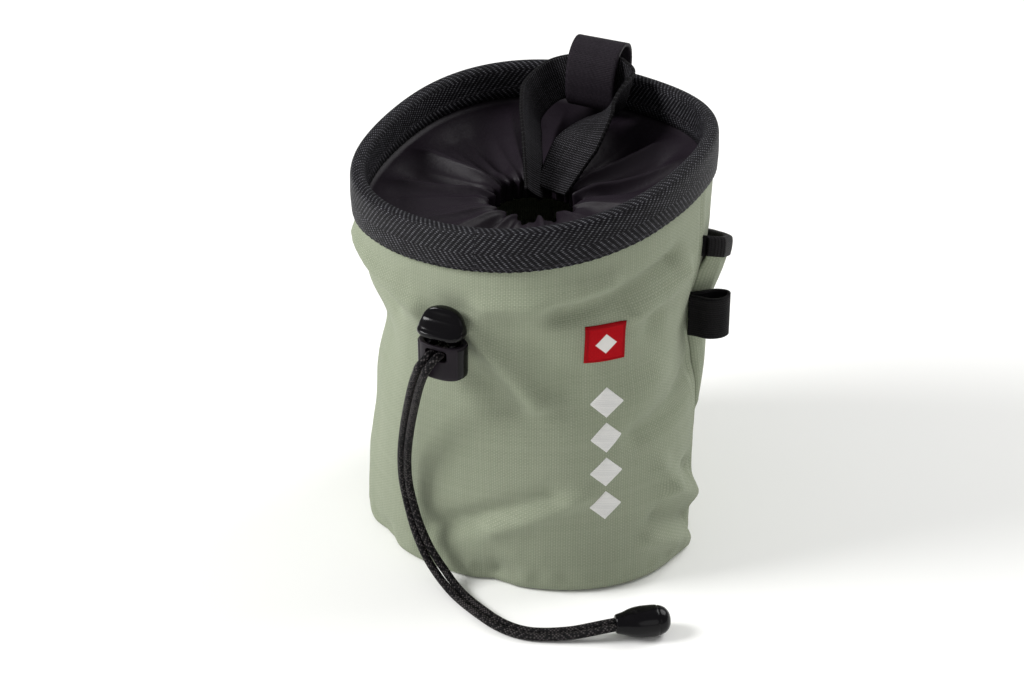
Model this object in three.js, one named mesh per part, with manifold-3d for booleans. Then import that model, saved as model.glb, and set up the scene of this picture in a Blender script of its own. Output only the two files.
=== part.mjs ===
// Climbing chalk bag: a round cloth pouch with a bound mouth, a gathered closure skirt,
// a drawcord with a push-button lock, and loops, a pocket and a small patch on the outside.
// Millimetres, +Z up, origin at the centre of the underside, front towards -Y.
// Azimuths are in degrees from the front, positive towards +X.

import * as THREE from 'three';
import { mergeVertices } from 'three/addons/utils/BufferGeometryUtils.js';
import Module from 'manifold-3d';

const wasm = await Module();
wasm.setup();

// Body of the bag
const BAG_HEIGHT = 156; // mean crest of the mouth above the ground
const RIM_RADIUS = 66.1; // middle line of the mouth binding
const BASE_RADIUS = 63.9; // outer face of the wall just above the bottom round
const CLOTH = 1.5; // green outer cloth
const HEM_ROUND = 3; // outer radius where the wall turns under the base
const SEAM_AZIMUTH = 86; // right side seam; the left one is opposite
const GAP = 0.3; // clearance between neighbouring pieces

// Binding tape folded over the mouth
const TAPE = 1.2;
const TAPE_CAVITY = 3.4; // inside width of the folded tape
const TAPE_OUTER_DROP = 15.5; // crest to the outer edge of the tape
const TAPE_INNER_DROP = 14; // crest to the inner edge of the tape
const WALL_TUCK = 3; // crest to the top edge of the cloth inside the tape

// Closure skirt of thin cloth, gathered round a hole
const SKIRT_CLOTH = 1;
const SKIRT_TUCK = 6; // crest to the skirt's own top edge inside the tape
const HOLE_RADIUS = 16;
const HOLE_DROP = 23; // mean crest to the top of the gathered hole
const HOLE_HEM = 8; // height of the hem that hangs in the hole
const GATHERS = 14;
const GATHER_DEPTH = 0.7;
const SKIRT_FOLDS = 9;
const FOLD_DEPTH = 2;

// Webbing
const WEBBING_WIDTH = 20;
const LOOP_THICKNESS = 1.4;
const LOOP_AZIMUTH = 173.5;
const LOOP_RISE = 13; // crest to the middle of the hanging loop's top
const LOOP_SPAN = 19; // outer leg to inner leg
const LOOP_STEP = 0.01; // radians along the rim over which its direction is taken
const STRAP_THICKNESS = 1.5;

// Elastic brush loop on the right side seam
const BRUSH_LOOP_WIDTH = 16.8;
const BRUSH_LOOP_THICKNESS = 1.2;
const BRUSH_LOOP_REACH = 14.4;
const BRUSH_LOOP_LEAN = 20; // how far it leans towards the back, in degrees
const BRUSH_LOOP_OPENING = 5.2;
const BRUSH_LOOP_DROP = 68.6; // mean crest to the loop's lower edge

// Stretch pocket across the back
const POCKET_CLOTH = 1.1;
const POCKET_FOOT = 52; // ground to the lower edge of the pocket
const POCKET_DROP = 28; // mean crest to the mouth of the pocket at the seams
const POCKET_GAPE = 7.4; // how far the slack cloth beside the seams stands off the wall
const POCKET_DIP = 20; // how far the mouth dips towards the middle of the back
const POCKET_SWELL = 1.9; // radians of a sine from the pocket's foot to its mouth
const POCKET_TAPE = 0.8;
const POCKET_TAPE_WIDTH = 8.5;

// Cord lock
const LOCK_AZIMUTH = -8.8;
const LOCK_DROP = 60.8; // mean crest to the foot of the lock
const LOCK_WIDTH = 18;
const LOCK_DEPTH = 12;
const BARREL_HEIGHT = 14;
const BARREL_FLOOR = 1.5;
const STEM_WIDTH = 11;
const STEM_DEPTH = 7;
const STEM_CLEARANCE = 0.4;
const BUTTON_HEIGHT = 9.6;
const BUTTON_BRIM = 3; // height of the straight rim below the dome
const BUTTON_TRAVEL = 2.6;
const CORD_SLOT_WIDTH = 8.4;
const CORD_SLOT_HEIGHT = 4.4;
const CORD_SLOT_RISE = 10.6; // foot of the barrel to the middle of the cord slot

// Drawcord: two strands side by side, with a bell on their end
const CORD_DIAMETER = 3;
const CORD_SPACING = 3.3;
const CORD_END_LENGTH = 19.5;
const CORD_END_DIAMETER = 11.8;
const CORD_END_NECK = 7.6;

// Woven patch
const PATCH_SIZE = 15.6;
const PATCH_THICKNESS = 0.8;
const PATCH_AZIMUTH = 38.8;
const PATCH_DROP = 48.2; // mean crest to the middle of the patch
const PATCH_SEAT = 0.5;

// Fineness of the faceted shells
const ROUND_COLUMNS = 52;
const LOW_ROWS = 4; // wall rows below the pocket
const POCKET_ROWS = 6; // wall rows behind the pocket
const HIGH_ROWS = 2; // wall rows above the pocket

// Plan outlines: waves round the bag, as shares of the mean radius
const RIM_PLAN = [
  { wave: 1, cosine: -0.0046, sine: -0.0082 },
  { wave: 2, cosine: 0.0283, sine: 0.0315 },
  { wave: 3, cosine: -0.0051, sine: -0.0097 },
  { wave: 4, cosine: -0.0078, sine: 0.0257 },
];
const BASE_PLAN = [
  { wave: 1, cosine: 0.044, sine: -0.007 },
  { wave: 2, cosine: 0.022, sine: 0.064 },
  { wave: 3, cosine: -0.064, sine: -0.020 },
];
// Rise and fall of the crest, as shares of the rim radius
const RIM_TILT = [
  { wave: 1, cosine: -0.0322, sine: 0.1086 },
  { wave: 2, cosine: -0.0157, sine: 0.0194 },
];

// Folds and dents of the wall. Each runs from one azimuth and height to another. Heights are shares
// of BAG_HEIGHT; width and depth are shares of BASE_RADIUS, and a dent's depth is negative.
const WALL_FOLDS = [
  { name: 'waist dent, left', from: -112, low: 0.56, to: -54, high: 0.56, width: 0.3, depth: -0.155 },
  { name: 'hollow below the waist', from: -108, low: 0.34, to: -60, high: 0.34, width: 0.31, depth: -0.07 },
  { name: 'front hollow behind the lock', from: -30, low: 0.62, to: 25, high: 0.60, width: 0.3, depth: -0.03 },
  { name: 'side hollow behind the loop', from: 84, low: 0.60, to: 118, high: 0.58, width: 0.27, depth: -0.08 },
  { name: 'shoulder ridge, left', from: -60, low: 0.80, to: -24, high: 0.73, width: 0.09, depth: 0.03 },
  { name: 'hollow under the shoulder', from: -60, low: 0.75, to: -38, high: 0.69, width: 0.1, depth: -0.028 },
  { name: 'slanting ridge by the lock', from: -2, low: 0.72, to: 18, high: 0.54, width: 0.07, depth: 0.034 },
  { name: 'hollow below the ridge', from: -2, low: 0.60, to: 8, high: 0.52, width: 0.11, depth: -0.024 },
  { name: 'hollow above the ridge', from: 10, low: 0.74, to: 20, high: 0.67, width: 0.11, depth: -0.022 },
  { name: 'crease above the patch', from: 25, low: 0.776, to: 66, high: 0.827, width: 0.075, depth: -0.04 },
  { name: 'ridge above the crease', from: 3, low: 0.782, to: 40, high: 0.846, width: 0.07, depth: 0.02 },
  { name: 'ridge below the crease', from: 49, low: 0.75, to: 74, high: 0.776, width: 0.06, depth: 0.028 },
  { name: 'hollow by the patch', from: 56, low: 0.69, to: 57, high: 0.71, width: 0.08, depth: -0.022 },
  { name: 'dip left of the patch', from: 27, low: 0.57, to: 29, high: 0.60, width: 0.11, depth: -0.018 },
  { name: 'side crease', from: 51, low: 0.417, to: 82, high: 0.474, width: 0.085, depth: -0.034 },
  { name: 'ridge above the side crease', from: 50, low: 0.53, to: 58, high: 0.55, width: 0.11, depth: 0.02 },
  { name: 'low ridge, right, upper part', from: 59, low: 0.308, to: 64, high: 0.24, width: 0.07, depth: 0.026 },
  { name: 'low ridge, right, lower part', from: 64, low: 0.24, to: 87, high: 0.11, width: 0.07, depth: 0.03 },
  { name: 'hollow beside the low ridge', from: 74, low: 0.23, to: 80, high: 0.20, width: 0.08, depth: -0.03 },
  { name: 'bottom ridge, right', from: 54, low: 0.12, to: 76, high: 0.03, width: 0.06, depth: 0.026 },
  { name: 'bottom hollow, right', from: 58, low: 0.17, to: 80, high: 0.06, width: 0.06, depth: -0.028 },
  { name: 'bottom sweep, hollow', from: -20, low: 0.12, to: 22, high: 0.27, width: 0.08, depth: -0.026 },
  { name: 'bottom sweep, ridge', from: 4, low: 0.17, to: 32, high: 0.28, width: 0.07, depth: 0.024 },
  { name: 'bottom pinch, front', from: 3, low: 0.03, to: 6, high: 0.04, width: 0.08, depth: -0.022 },
  { name: 'bottom pinch, left', from: -46, low: 0.02, to: -42, high: 0.02, width: 0.09, depth: -0.022 },
  { name: 'back hollow', from: 196, low: 0.17, to: 222, high: 0.22, width: 0.12, depth: -0.03 },
  { name: 'back ridge', from: 150, low: 0.10, to: 176, high: 0.20, width: 0.08, depth: 0.022 },
];

// Middle line of the hanging loop: across from its outer leg, as a share of LOOP_SPAN,
// and up from the crest, as a share of LOOP_RISE
const LOOP_PATH = [
  { across: 0, up: 0 },
  { across: 0.03, up: 0.4 },
  { across: 0.18, up: 0.82 },
  { across: 0.48, up: 1 },
  { across: 0.8, up: 0.78 },
  { across: 0.97, up: 0.25 },
  { across: 0.99, up: -0.3 },
  { across: 0.94, up: -0.68 },
  { across: 0.78, up: -0.93 },
  { across: 0.6, up: -0.95 },
];

// Middle line of the pull strap: azimuth, distance out as a share of its crown's radius, rise as a
// share of the way up from the hole to the crown, turn of its width from level, width as a share
const STRAP_PATH = [
  { azimuth: 207, out: 0.08, rise: 0.00, turn: 60, width: 0.6 },
  { azimuth: 202, out: 0.31, rise: 0.43, turn: 60, width: 0.7 },
  { azimuth: 201, out: 0.59, rise: 0.61, turn: 62, width: 0.8 },
  { azimuth: 199, out: 0.82, rise: 0.70, turn: 68, width: 0.82 },
  { azimuth: 191, out: 0.98, rise: 0.84, turn: 78, width: 0.82 },
  { azimuth: 182, out: 1.00, rise: 0.96, turn: 86, width: 0.82 },
  { azimuth: 174, out: 1.00, rise: 1.02, turn: 90, width: 0.84 },
  { azimuth: 167, out: 1.00, rise: 1.05, turn: 90, width: 0.84 },
  { azimuth: 161.5, out: 0.98, rise: 1.03, turn: 86, width: 0.84 },
  { azimuth: 156.5, out: 0.92, rise: 0.96, turn: 74, width: 0.9 },
  { azimuth: 159, out: 0.69, rise: 0.74, turn: 34, width: 1.05 },
  { azimuth: 160, out: 0.44, rise: 0.47, turn: 4, width: 1 },
  { azimuth: 160, out: 0.17, rise: 0.00, turn: 0, width: 0.7 },
];

// Mouth of the back pocket: degrees from a side seam, stand-off as a share of POCKET_GAPE and
// drop as a share of POCKET_DIP
const POCKET_MOUTH = [
  { fromSeam: 2.6, gape: 0, dip: 0 },
  { fromSeam: 7, gape: 0.75, dip: 0.12 },
  { fromSeam: 14, gape: 1, dip: 0.3 },
  { fromSeam: 23, gape: 0.5, dip: 0.52 },
  { fromSeam: 35, gape: 0.15, dip: 0.8 },
  { fromSeam: 50, gape: 0.1, dip: 0.95 },
  { fromSeam: 90, gape: 0.3, dip: 1 },
];

// Middle line of the brush loop: across as a share of its opening, out as a share of its reach
const BRUSH_LOOP_PATH = [
  { across: -0.15, out: 0 },
  { across: -0.3, out: 0.22 },
  { across: -0.62, out: 0.62 },
  { across: -0.42, out: 0.92 },
  { across: 0, out: 1 },
  { across: 0.42, out: 0.92 },
  { across: 0.62, out: 0.62 },
  { across: 0.3, out: 0.22 },
  { across: 0.15, out: 0 },
];

// Route of the cord pair's middle, chosen by hand: out through the lock, down in front of the bag
// and along the ground to the bell
const CORD_ROUTE = [
  [-9.3, -60.3, 105.8],
  [-10.4, -67.5, 105.8],
  [-11.6, -74.8, 105.8],
  [-12.5, -79.9, 106.2],
  [-14.2, -82.9, 104.6],
  [-16.2, -82.0, 100.4],
  [-19.1, -79.0, 93.4],
  [-23.3, -74.0, 80.0],
  [-27.0, -69.2, 66.0],
  [-29.6, -65.4, 52.2],
  [-29.9, -63.9, 40.2],
  [-28.1, -64.0, 30.2],
  [-24.8, -65.8, 21.0],
  [-19.6, -68.6, 12.6],
  [-13.8, -70.9, 6.2],
  [-7.2, -75.0, 2.6],
  [-0.4, -79.6, 1.6],
  [5.7, -83.6, 1.6],
  [11.6, -87.2, 1.6],
  [17.1, -89.6, 1.6],
  [22.1, -90.8, 1.6],
  [28.0, -90.8, 1.6],
  [35.4, -89.1, 1.9],
  [43.8, -86.5, 2.9],
  [51.4, -83.6, 4.6],
  [57.6, -80.9, 5.7],
];
const CORD_STEPS = 40;
const CORD_SIDES = 8;
const CORD_END_AZIMUTH = 117.1; // heading of the bell on the ground, in the same sense as azimuths

const RADIANS = Math.PI / 180;
const FULL_TURN = 2 * Math.PI;

// Small helpers

function waves(table, azimuth) {
  let sum = 0;
  for (const { wave, cosine, sine } of table) {
    sum += cosine * Math.cos(wave * azimuth) + sine * Math.sin(wave * azimuth);
  }
  return sum;
}

function around(azimuth, radius, height) {
  return new THREE.Vector3(radius * Math.sin(azimuth), -radius * Math.cos(azimuth), height);
}

function interpolate(rows, key, position) {
  const index = Math.min(Math.floor(position), rows.length - 2);
  return THREE.MathUtils.lerp(rows[index][key], rows[index + 1][key], position - index);
}

// A closed body from loops of points, each loop an outer chain and then the inner chain backwards
function sweep(loops, isRing = false) {
  const size = loops[0].length;
  const half = size / 2;
  const index = [];
  const last = isRing ? loops.length : loops.length - 1;
  for (let k = 0; k < last; k += 1) {
    const here = k * size;
    const next = ((k + 1) % loops.length) * size;
    for (let i = 0; i < size; i += 1) {
      const j = (i + 1) % size;
      index.push(here + i, next + i, next + j, here + i, next + j, here + j);
    }
  }
  if (!isRing) {
    const end = (loops.length - 1) * size;
    for (let i = 0; i < half - 1; i += 1) {
      const a = i;
      const b = i + 1;
      const c = size - 2 - i;
      const d = size - 1 - i;
      index.push(a, b, c, a, c, d);
      index.push(end + a, end + c, end + b, end + a, end + d, end + c);
    }
  }
  const geometry = new THREE.BufferGeometry();
  geometry.setFromPoints(loops.flat());
  geometry.setIndex(index);
  return geometry;
}

// A flat band along a path; each station has a middle, a direction along the path and one across it
function band(stations, width, thickness) {
  const loops = stations.map(({ middle, along, across, share = 1 }) => {
    const side = across.clone().multiplyScalar((width * share) / 2);
    const lift = new THREE.Vector3().crossVectors(along, across).setLength(thickness / 2);
    return [
      middle.clone().sub(side).add(lift),
      middle.clone().add(side).add(lift),
      middle.clone().add(side).sub(lift),
      middle.clone().sub(side).sub(lift),
    ];
  });
  return sweep(loops);
}

function toSolid(geometry) {
  const bare = geometry.clone();
  bare.deleteAttribute('normal');
  bare.deleteAttribute('uv');
  const merged = mergeVertices(bare, 1e-4);
  return new wasm.Manifold(new wasm.Mesh({
    numProp: 3,
    vertProperties: new Float32Array(merged.attributes.position.array),
    triVerts: new Uint32Array(merged.index.array),
  }));
}

function toGeometry(solid) {
  const mesh = solid.getMesh();
  const geometry = new THREE.BufferGeometry();
  geometry.setAttribute('position', new THREE.BufferAttribute(new Float32Array(mesh.vertProperties), 3));
  geometry.setIndex(new THREE.BufferAttribute(new Uint32Array(mesh.triVerts), 1));
  return geometry;
}

const bag = new THREE.Group();
bag.name = 'climbing_chalk_bag';

function add(name, geometry, color, roughness, metalness = 0) {
  const material = new THREE.MeshStandardMaterial({ color, roughness, metalness, flatShading: true });
  const mesh = new THREE.Mesh(geometry, material);
  mesh.name = name;
  bag.add(mesh);
  return mesh;
}

const GREEN_CLOTH = '#959b82';
const DARK_WEBBING = '#2e2b31';
const THIN_BLACK_CLOTH = '#16121a';
const BLACK_PLASTIC = '#100d11';
const PATCH_RED = '#b4121f';

// Shape of the mouth and the wall

function rimRadius(azimuth) {
  return RIM_RADIUS * (1 + waves(RIM_PLAN, azimuth));
}

function crestHeight(azimuth) {
  return BAG_HEIGHT + RIM_RADIUS * waves(RIM_TILT, azimuth);
}

function looseTop(azimuth) {
  return crestHeight(azimuth) - TAPE_OUTER_DROP - CLOTH;
}

function foldRelief(azimuth, height) {
  let relief = 0;
  for (const { from, low, to, high, width, depth } of WALL_FOLDS) {
    const start = from * RADIANS;
    const middle = (from + to) * 0.5 * RADIANS;
    const nearest = azimuth - FULL_TURN * Math.round((azimuth - middle) / FULL_TURN);
    const along = new THREE.Vector2((to * RADIANS - start) * BASE_RADIUS, (high - low) * BAG_HEIGHT);
    const here = new THREE.Vector2((nearest - start) * BASE_RADIUS, height - low * BAG_HEIGHT);
    const share = THREE.MathUtils.clamp(here.dot(along) / along.lengthSq(), 0, 1);
    const distance = here.sub(along.multiplyScalar(share)).length() / (width * BASE_RADIUS);
    relief += depth * BASE_RADIUS * Math.exp(-distance * distance);
  }
  const fadeLength = TAPE_OUTER_DROP / 2;
  const top = looseTop(azimuth);
  return relief * (1 - THREE.MathUtils.smoothstep(height, top - fadeLength, top));
}

// Outer face of the wall
function wallRadius(azimuth, height) {
  const base = BASE_RADIUS * (1 + waves(BASE_PLAN, azimuth));
  const rim = rimRadius(azimuth) + TAPE_CAVITY / 2 - GAP;
  const share = THREE.MathUtils.smoothstep(height, 0, looseTop(azimuth));
  return THREE.MathUtils.lerp(base, rim, share) + foldRelief(azimuth, height);
}

// Value of a column of the pocket's table at an azimuth; the front takes the value at the seams
function pocketShare(key, azimuth) {
  const side = THREE.MathUtils.euclideanModulo(azimuth / RADIANS - SEAM_AZIMUTH, 360);
  const fromSeam = Math.max(Math.min(side, 180 - side), POCKET_MOUTH[0].fromSeam);
  const above = Math.max(1, POCKET_MOUTH.findIndex((row) => row.fromSeam >= fromSeam));
  const [low, high] = [POCKET_MOUTH[above - 1], POCKET_MOUTH[above]];
  return THREE.MathUtils.mapLinear(fromSeam, low.fromSeam, high.fromSeam, low[key], high[key]);
}

function pocketMouth(azimuth) {
  return BAG_HEIGHT - POCKET_DROP - POCKET_DIP * pocketShare('dip', azimuth);
}

// Heights of the wall's rows, with two along the pocket's mouth so that the pocket can follow them
function wallHeights(azimuth) {
  const heights = [HEM_ROUND];
  const mouth = pocketMouth(azimuth);
  const climb = (to, rows) => {
    const start = heights[heights.length - 1];
    for (let row = 1; row <= rows; row += 1) heights.push(THREE.MathUtils.lerp(start, to, row / rows));
  };
  climb(POCKET_FOOT, LOW_ROWS);
  climb(mouth - POCKET_TAPE_WIDTH, POCKET_ROWS);
  climb(mouth - POCKET_TAPE - GAP, 1);
  climb(looseTop(azimuth), HIGH_ROWS);
  return heights;
}

// Radius of the faceted wall, which what is seated on it follows
function facetRadius(azimuth, height) {
  const step = FULL_TURN / ROUND_COLUMNS;
  const place = (azimuth - SEAM_AZIMUTH * RADIANS) / step;
  const column = Math.floor(place);
  const [near, far] = [column, column + 1].map((index) => {
    const columnAzimuth = SEAM_AZIMUTH * RADIANS + index * step;
    const heights = wallHeights(columnAzimuth);
    const above = Math.max(1, heights.findIndex((value) => value >= height));
    const [low, high] = [heights[above - 1], heights[above]];
    const share = (height - low) / (high - low);
    return THREE.MathUtils.lerp(wallRadius(columnAzimuth, low), wallRadius(columnAzimuth, high), share);
  });
  return THREE.MathUtils.lerp(near, far, place - column);
}

function wallLoop(azimuth) {
  const foot = wallRadius(azimuth, HEM_ROUND);
  const outer = [];
  const inner = [];
  const innerRound = HEM_ROUND - CLOTH;
  for (const quarter of [0, 0.5]) {
    const swing = quarter * Math.PI / 2;
    const centre = foot - HEM_ROUND;
    outer.push([centre + HEM_ROUND * Math.sin(swing), HEM_ROUND - HEM_ROUND * Math.cos(swing)]);
    inner.push([centre + innerRound * Math.sin(swing), HEM_ROUND - innerRound * Math.cos(swing)]);
  }
  for (const height of wallHeights(azimuth)) {
    const radius = wallRadius(azimuth, height);
    outer.push([radius, height]);
    inner.push([radius - CLOTH, height]);
  }
  const edge = crestHeight(azimuth) - WALL_TUCK;
  const tucked = rimRadius(azimuth) + TAPE_CAVITY / 2 - GAP;
  outer.push([tucked, edge]);
  inner.push([tucked - CLOTH, edge]);
  return [...outer, ...inner.reverse()].map(([radius, height]) => around(azimuth, radius, height));
}

// Half of the wall, from one side seam to the other
function wallPanel(startAzimuth) {
  const columns = ROUND_COLUMNS / 2;
  const seamGap = GAP / 2 / BASE_RADIUS;
  const loops = [];
  for (let column = 0; column <= columns; column += 1) {
    let azimuth = startAzimuth * RADIANS + Math.PI * column / columns;
    if (column === 0) azimuth += seamGap;
    if (column === columns) azimuth -= seamGap;
    loops.push(wallLoop(azimuth));
  }
  return sweep(loops);
}

function ringAzimuths(columns) {
  const start = SEAM_AZIMUTH * RADIANS;
  return Array.from({ length: columns }, (_, column) => start + FULL_TURN * column / columns);
}

// Places on the lock, from its foot and its middle line
const lockAzimuth = LOCK_AZIMUTH * RADIANS;
const lockFoot = BAG_HEIGHT - LOCK_DROP;
const slotHeight = lockFoot + CORD_SLOT_RISE;

const buttonFoot = lockFoot + BARREL_HEIGHT + BUTTON_TRAVEL + 1.5 * GAP;
const lockTop = buttonFoot + BUTTON_HEIGHT;

// How far out the wall reaches behind the oval back of the lock
function wallReachAtLock() {
  let reach = 0;
  for (let across = -0.9; across <= 0.9; across += 0.15) {
    const side = across * LOCK_WIDTH / 2;
    const ovalGap = LOCK_DEPTH / 2 * (1 - Math.sqrt(1 - across * across));
    for (let rise = 0; rise <= 1; rise += 0.1) {
      const radius = facetRadius(lockAzimuth + side / BASE_RADIUS, THREE.MathUtils.lerp(lockFoot, lockTop, rise));
      reach = Math.max(reach, radius * Math.cos(side / radius) - ovalGap);
    }
  }
  return reach;
}
const lockRadius = wallReachAtLock() + GAP + LOCK_DEPTH / 2;

// Turns a shape drawn at the origin with its front towards -Y to an azimuth, and moves it out
function placeAround(geometry, azimuth, radius, height) {
  geometry.rotateZ(azimuth);
  const place = around(azimuth, radius, height);
  return geometry.translate(place.x, place.y, place.z);
}

function radialBox(width, depth, height, azimuth, radius, middleHeight) {
  return placeAround(new THREE.BoxGeometry(width, depth, height), azimuth, radius, middleHeight);
}

// Front and back panels, with a slot for the drawcord in the front

const cordSlot = toSolid(radialBox(
  CORD_SLOT_WIDTH, LOCK_DEPTH, CORD_SLOT_HEIGHT, lockAzimuth, lockRadius - LOCK_DEPTH, slotHeight));
const frontPanel = toGeometry(toSolid(wallPanel(SEAM_AZIMUTH - 180)).subtract(cordSlot));
add('front_panel', frontPanel, GREEN_CLOTH, 0.85);
add('back_panel', wallPanel(SEAM_AZIMUTH), GREEN_CLOTH, 0.85);

// Base disc inside the turned-under hem

function basePanel() {
  const outline = ringAzimuths(ROUND_COLUMNS).map((azimuth) => {
    const radius = wallRadius(azimuth, HEM_ROUND) - HEM_ROUND - GAP;
    return new THREE.Vector2(radius * Math.sin(azimuth), -radius * Math.cos(azimuth));
  });
  return new THREE.ExtrudeGeometry(new THREE.Shape(outline), { depth: CLOTH, bevelEnabled: false });
}
add('base_panel', basePanel(), GREEN_CLOTH, 0.85);

// Mouth binding: tape folded over the top edges of the wall and the skirt

function bindingLoop(azimuth) {
  const half = TAPE_CAVITY / 2;
  const full = half + TAPE;
  const outer = [
    [full, -TAPE_OUTER_DROP], [full, -TAPE * 1.6], [full * 0.7, -TAPE * 0.4], [0, 0],
    [-full * 0.7, -TAPE * 0.4], [-full, -TAPE * 1.6], [-full, -TAPE_INNER_DROP],
  ];
  const inner = [
    [-half, -TAPE_INNER_DROP], [-half, -TAPE * 1.9], [-half * 0.6, -TAPE * 1.2], [0, -TAPE],
    [half * 0.6, -TAPE * 1.2], [half, -TAPE * 1.9], [half, -TAPE_OUTER_DROP],
  ];
  const radius = rimRadius(azimuth);
  const crest = crestHeight(azimuth);
  return [...outer, ...inner].map(([out, up]) => around(azimuth, radius + out, crest + up));
}
add('rim_binding', sweep(ringAzimuths(ROUND_COLUMNS).map(bindingLoop), true), DARK_WEBBING, 0.7);

// Closure skirt: hangs from the binding, runs in to a gathered hole and ends in a hem

const holeHeight = BAG_HEIGHT - HOLE_DROP;

// Height of the skirt's middle surface; share is 0 at the hole and 1 at the binding
function skirtHeight(azimuth, share) {
  const edge = crestHeight(azimuth) - TAPE_OUTER_DROP - SKIRT_CLOTH;
  const level = THREE.MathUtils.lerp(holeHeight, edge, share * share);
  const swell = Math.sin(Math.PI * Math.pow(share, 0.8));
  const fold = Math.sin(SKIRT_FOLDS * azimuth + 1.1 * Math.sin(2 * azimuth + 0.6) + 0.4 * share);
  return level + FOLD_DEPTH * swell * fold;
}

function holeRadius(azimuth) {
  return HOLE_RADIUS + GATHER_DEPTH * Math.cos(GATHERS * azimuth);
}

function skirtLine(azimuth) {
  const hole = holeRadius(azimuth);
  const inside = rimRadius(azimuth) - TAPE_CAVITY / 2 + GAP + SKIRT_CLOTH / 2;
  const crest = crestHeight(azimuth);
  const turn = 1.5 * SKIRT_CLOTH;
  const line = [
    [hole, holeHeight - HOLE_HEM],
    [hole, holeHeight - turn],
    [hole + turn * 0.4, holeHeight - turn * 0.3],
  ];
  const start = hole + turn;
  const end = inside - 2 * TAPE;
  for (const share of [0, 0.22, 0.48, 0.74, 1]) {
    line.push([THREE.MathUtils.lerp(start, end, share), skirtHeight(azimuth, share)]);
  }
  line.push([inside - TAPE * 0.5, crest - TAPE_OUTER_DROP - SKIRT_CLOTH * 0.7]);
  line.push([inside, crest - TAPE_OUTER_DROP + SKIRT_CLOTH]);
  line.push([inside, crest - SKIRT_TUCK]);
  return line.map(([radius, height]) => new THREE.Vector2(radius, height));
}

function skirtLoop(azimuth) {
  const line = skirtLine(azimuth);
  const lower = [];
  const upper = [];
  line.forEach((point, i) => {
    const before = line[Math.max(i - 1, 0)];
    const after = line[Math.min(i + 1, line.length - 1)];
    const along = after.clone().sub(before).normalize();
    const outward = new THREE.Vector2(along.y, -along.x).multiplyScalar(SKIRT_CLOTH / 2);
    lower.push(point.clone().add(outward));
    upper.push(point.clone().sub(outward));
  });
  return [...lower, ...upper.reverse()].map((point) => around(azimuth, point.x, point.y));
}
add('closure_skirt', sweep(ringAzimuths(ROUND_COLUMNS).map(skirtLoop), true), THIN_BLACK_CLOTH, 0.55);

// Hanging loop over the back of the mouth, both ends sewn to the binding

function hangLoop() {
  const azimuth = LOOP_AZIMUTH * RADIANS;
  const crest = crestHeight(azimuth);
  const outerLeg = rimRadius(azimuth) + TAPE_CAVITY / 2 + TAPE + GAP + LOOP_THICKNESS / 2;
  const points = [new THREE.Vector2(outerLeg, crest - TAPE_OUTER_DROP + 2 * TAPE)];
  for (const { across, up } of LOOP_PATH) {
    points.push(new THREE.Vector2(outerLeg - across * LOOP_SPAN, crest + up * LOOP_RISE));
  }
  const sagitta = WEBBING_WIDTH * WEBBING_WIDTH / (8 * rimRadius(azimuth));
  const bindingInside = rimRadius(azimuth) - TAPE_CAVITY / 2 - TAPE;
  const innerFoot = bindingInside - sagitta - 2 * GAP - LOOP_THICKNESS / 2;
  points.push(new THREE.Vector2(innerFoot, crest - TAPE_INNER_DROP + 2 * TAPE));
  const curve = new THREE.SplineCurve(points);
  // The sewn ends lie along the binding, and the rest of the loop is square to the radius
  const aside = azimuth + LOOP_STEP;
  const alongRim = around(aside, rimRadius(aside), 0).sub(around(azimuth, rimRadius(azimuth), 0)).normalize();
  const square = new THREE.Vector3(Math.cos(azimuth), Math.sin(azimuth), 0);
  const steps = 22;
  const stations = [];
  for (let step = 0; step <= steps; step += 1) {
    const spot = curve.getPoint(step / steps);
    const heading = curve.getTangent(step / steps);
    const inward = rimRadius(azimuth) - spot.x;
    const freed = Math.max(THREE.MathUtils.smoothstep(spot.y, crest, crest + LOOP_RISE),
      THREE.MathUtils.smoothstep(inward, LOOP_SPAN * 0.3, LOOP_SPAN * 0.7));
    stations.push({
      middle: around(azimuth, spot.x, spot.y),
      along: around(azimuth, heading.x, heading.y),
      across: alongRim.clone().lerp(square, freed).normalize(),
    });
  }
  return band(stations, WEBBING_WIDTH, LOOP_THICKNESS);
}
add('hang_loop', hangLoop(), DARK_WEBBING, 0.6);

// Pull strap: both legs come up out of the hole, its crown stands on edge inside the hanging loop

function strapStations() {
  const azimuth = LOOP_AZIMUTH * RADIANS;
  const outerLeg = rimRadius(azimuth) + TAPE_CAVITY / 2 + TAPE + GAP + LOOP_THICKNESS / 2;
  const innerLeg = outerLeg - LOOP_SPAN + LOOP_THICKNESS / 2;
  const bindingInside = rimRadius(azimuth) - TAPE_CAVITY / 2 - TAPE;
  const crown = THREE.MathUtils.lerp(innerLeg, bindingInside, 0.55);
  const foot = holeHeight - 2;
  const crownHeight = crestHeight(azimuth) + GAP;
  const points = STRAP_PATH.map((row) => around(
    row.azimuth * RADIANS, row.out * crown, THREE.MathUtils.lerp(foot, crownHeight, row.rise)));
  const curve = new THREE.CatmullRomCurve3(points, false, 'centripetal');
  const steps = 30;
  const stations = [];
  for (let step = 0; step <= steps; step += 1) {
    const share = step / steps;
    const position = share * (STRAP_PATH.length - 1);
    const along = curve.getTangent(share);
    const level = new THREE.Vector3(along.y, -along.x, 0).normalize();
    const turn = interpolate(STRAP_PATH, 'turn', position) * RADIANS;
    const across = level.applyAxisAngle(along, turn);
    stations.push({
      middle: curve.getPoint(share), along, across, share: interpolate(STRAP_PATH, 'width', position),
    });
  }
  return stations;
}
add('pull_strap', band(strapStations(), WEBBING_WIDTH, STRAP_THICKNESS), DARK_WEBBING, 0.75);

// Brush loop: a flat elastic loop standing out from the right side seam

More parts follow.
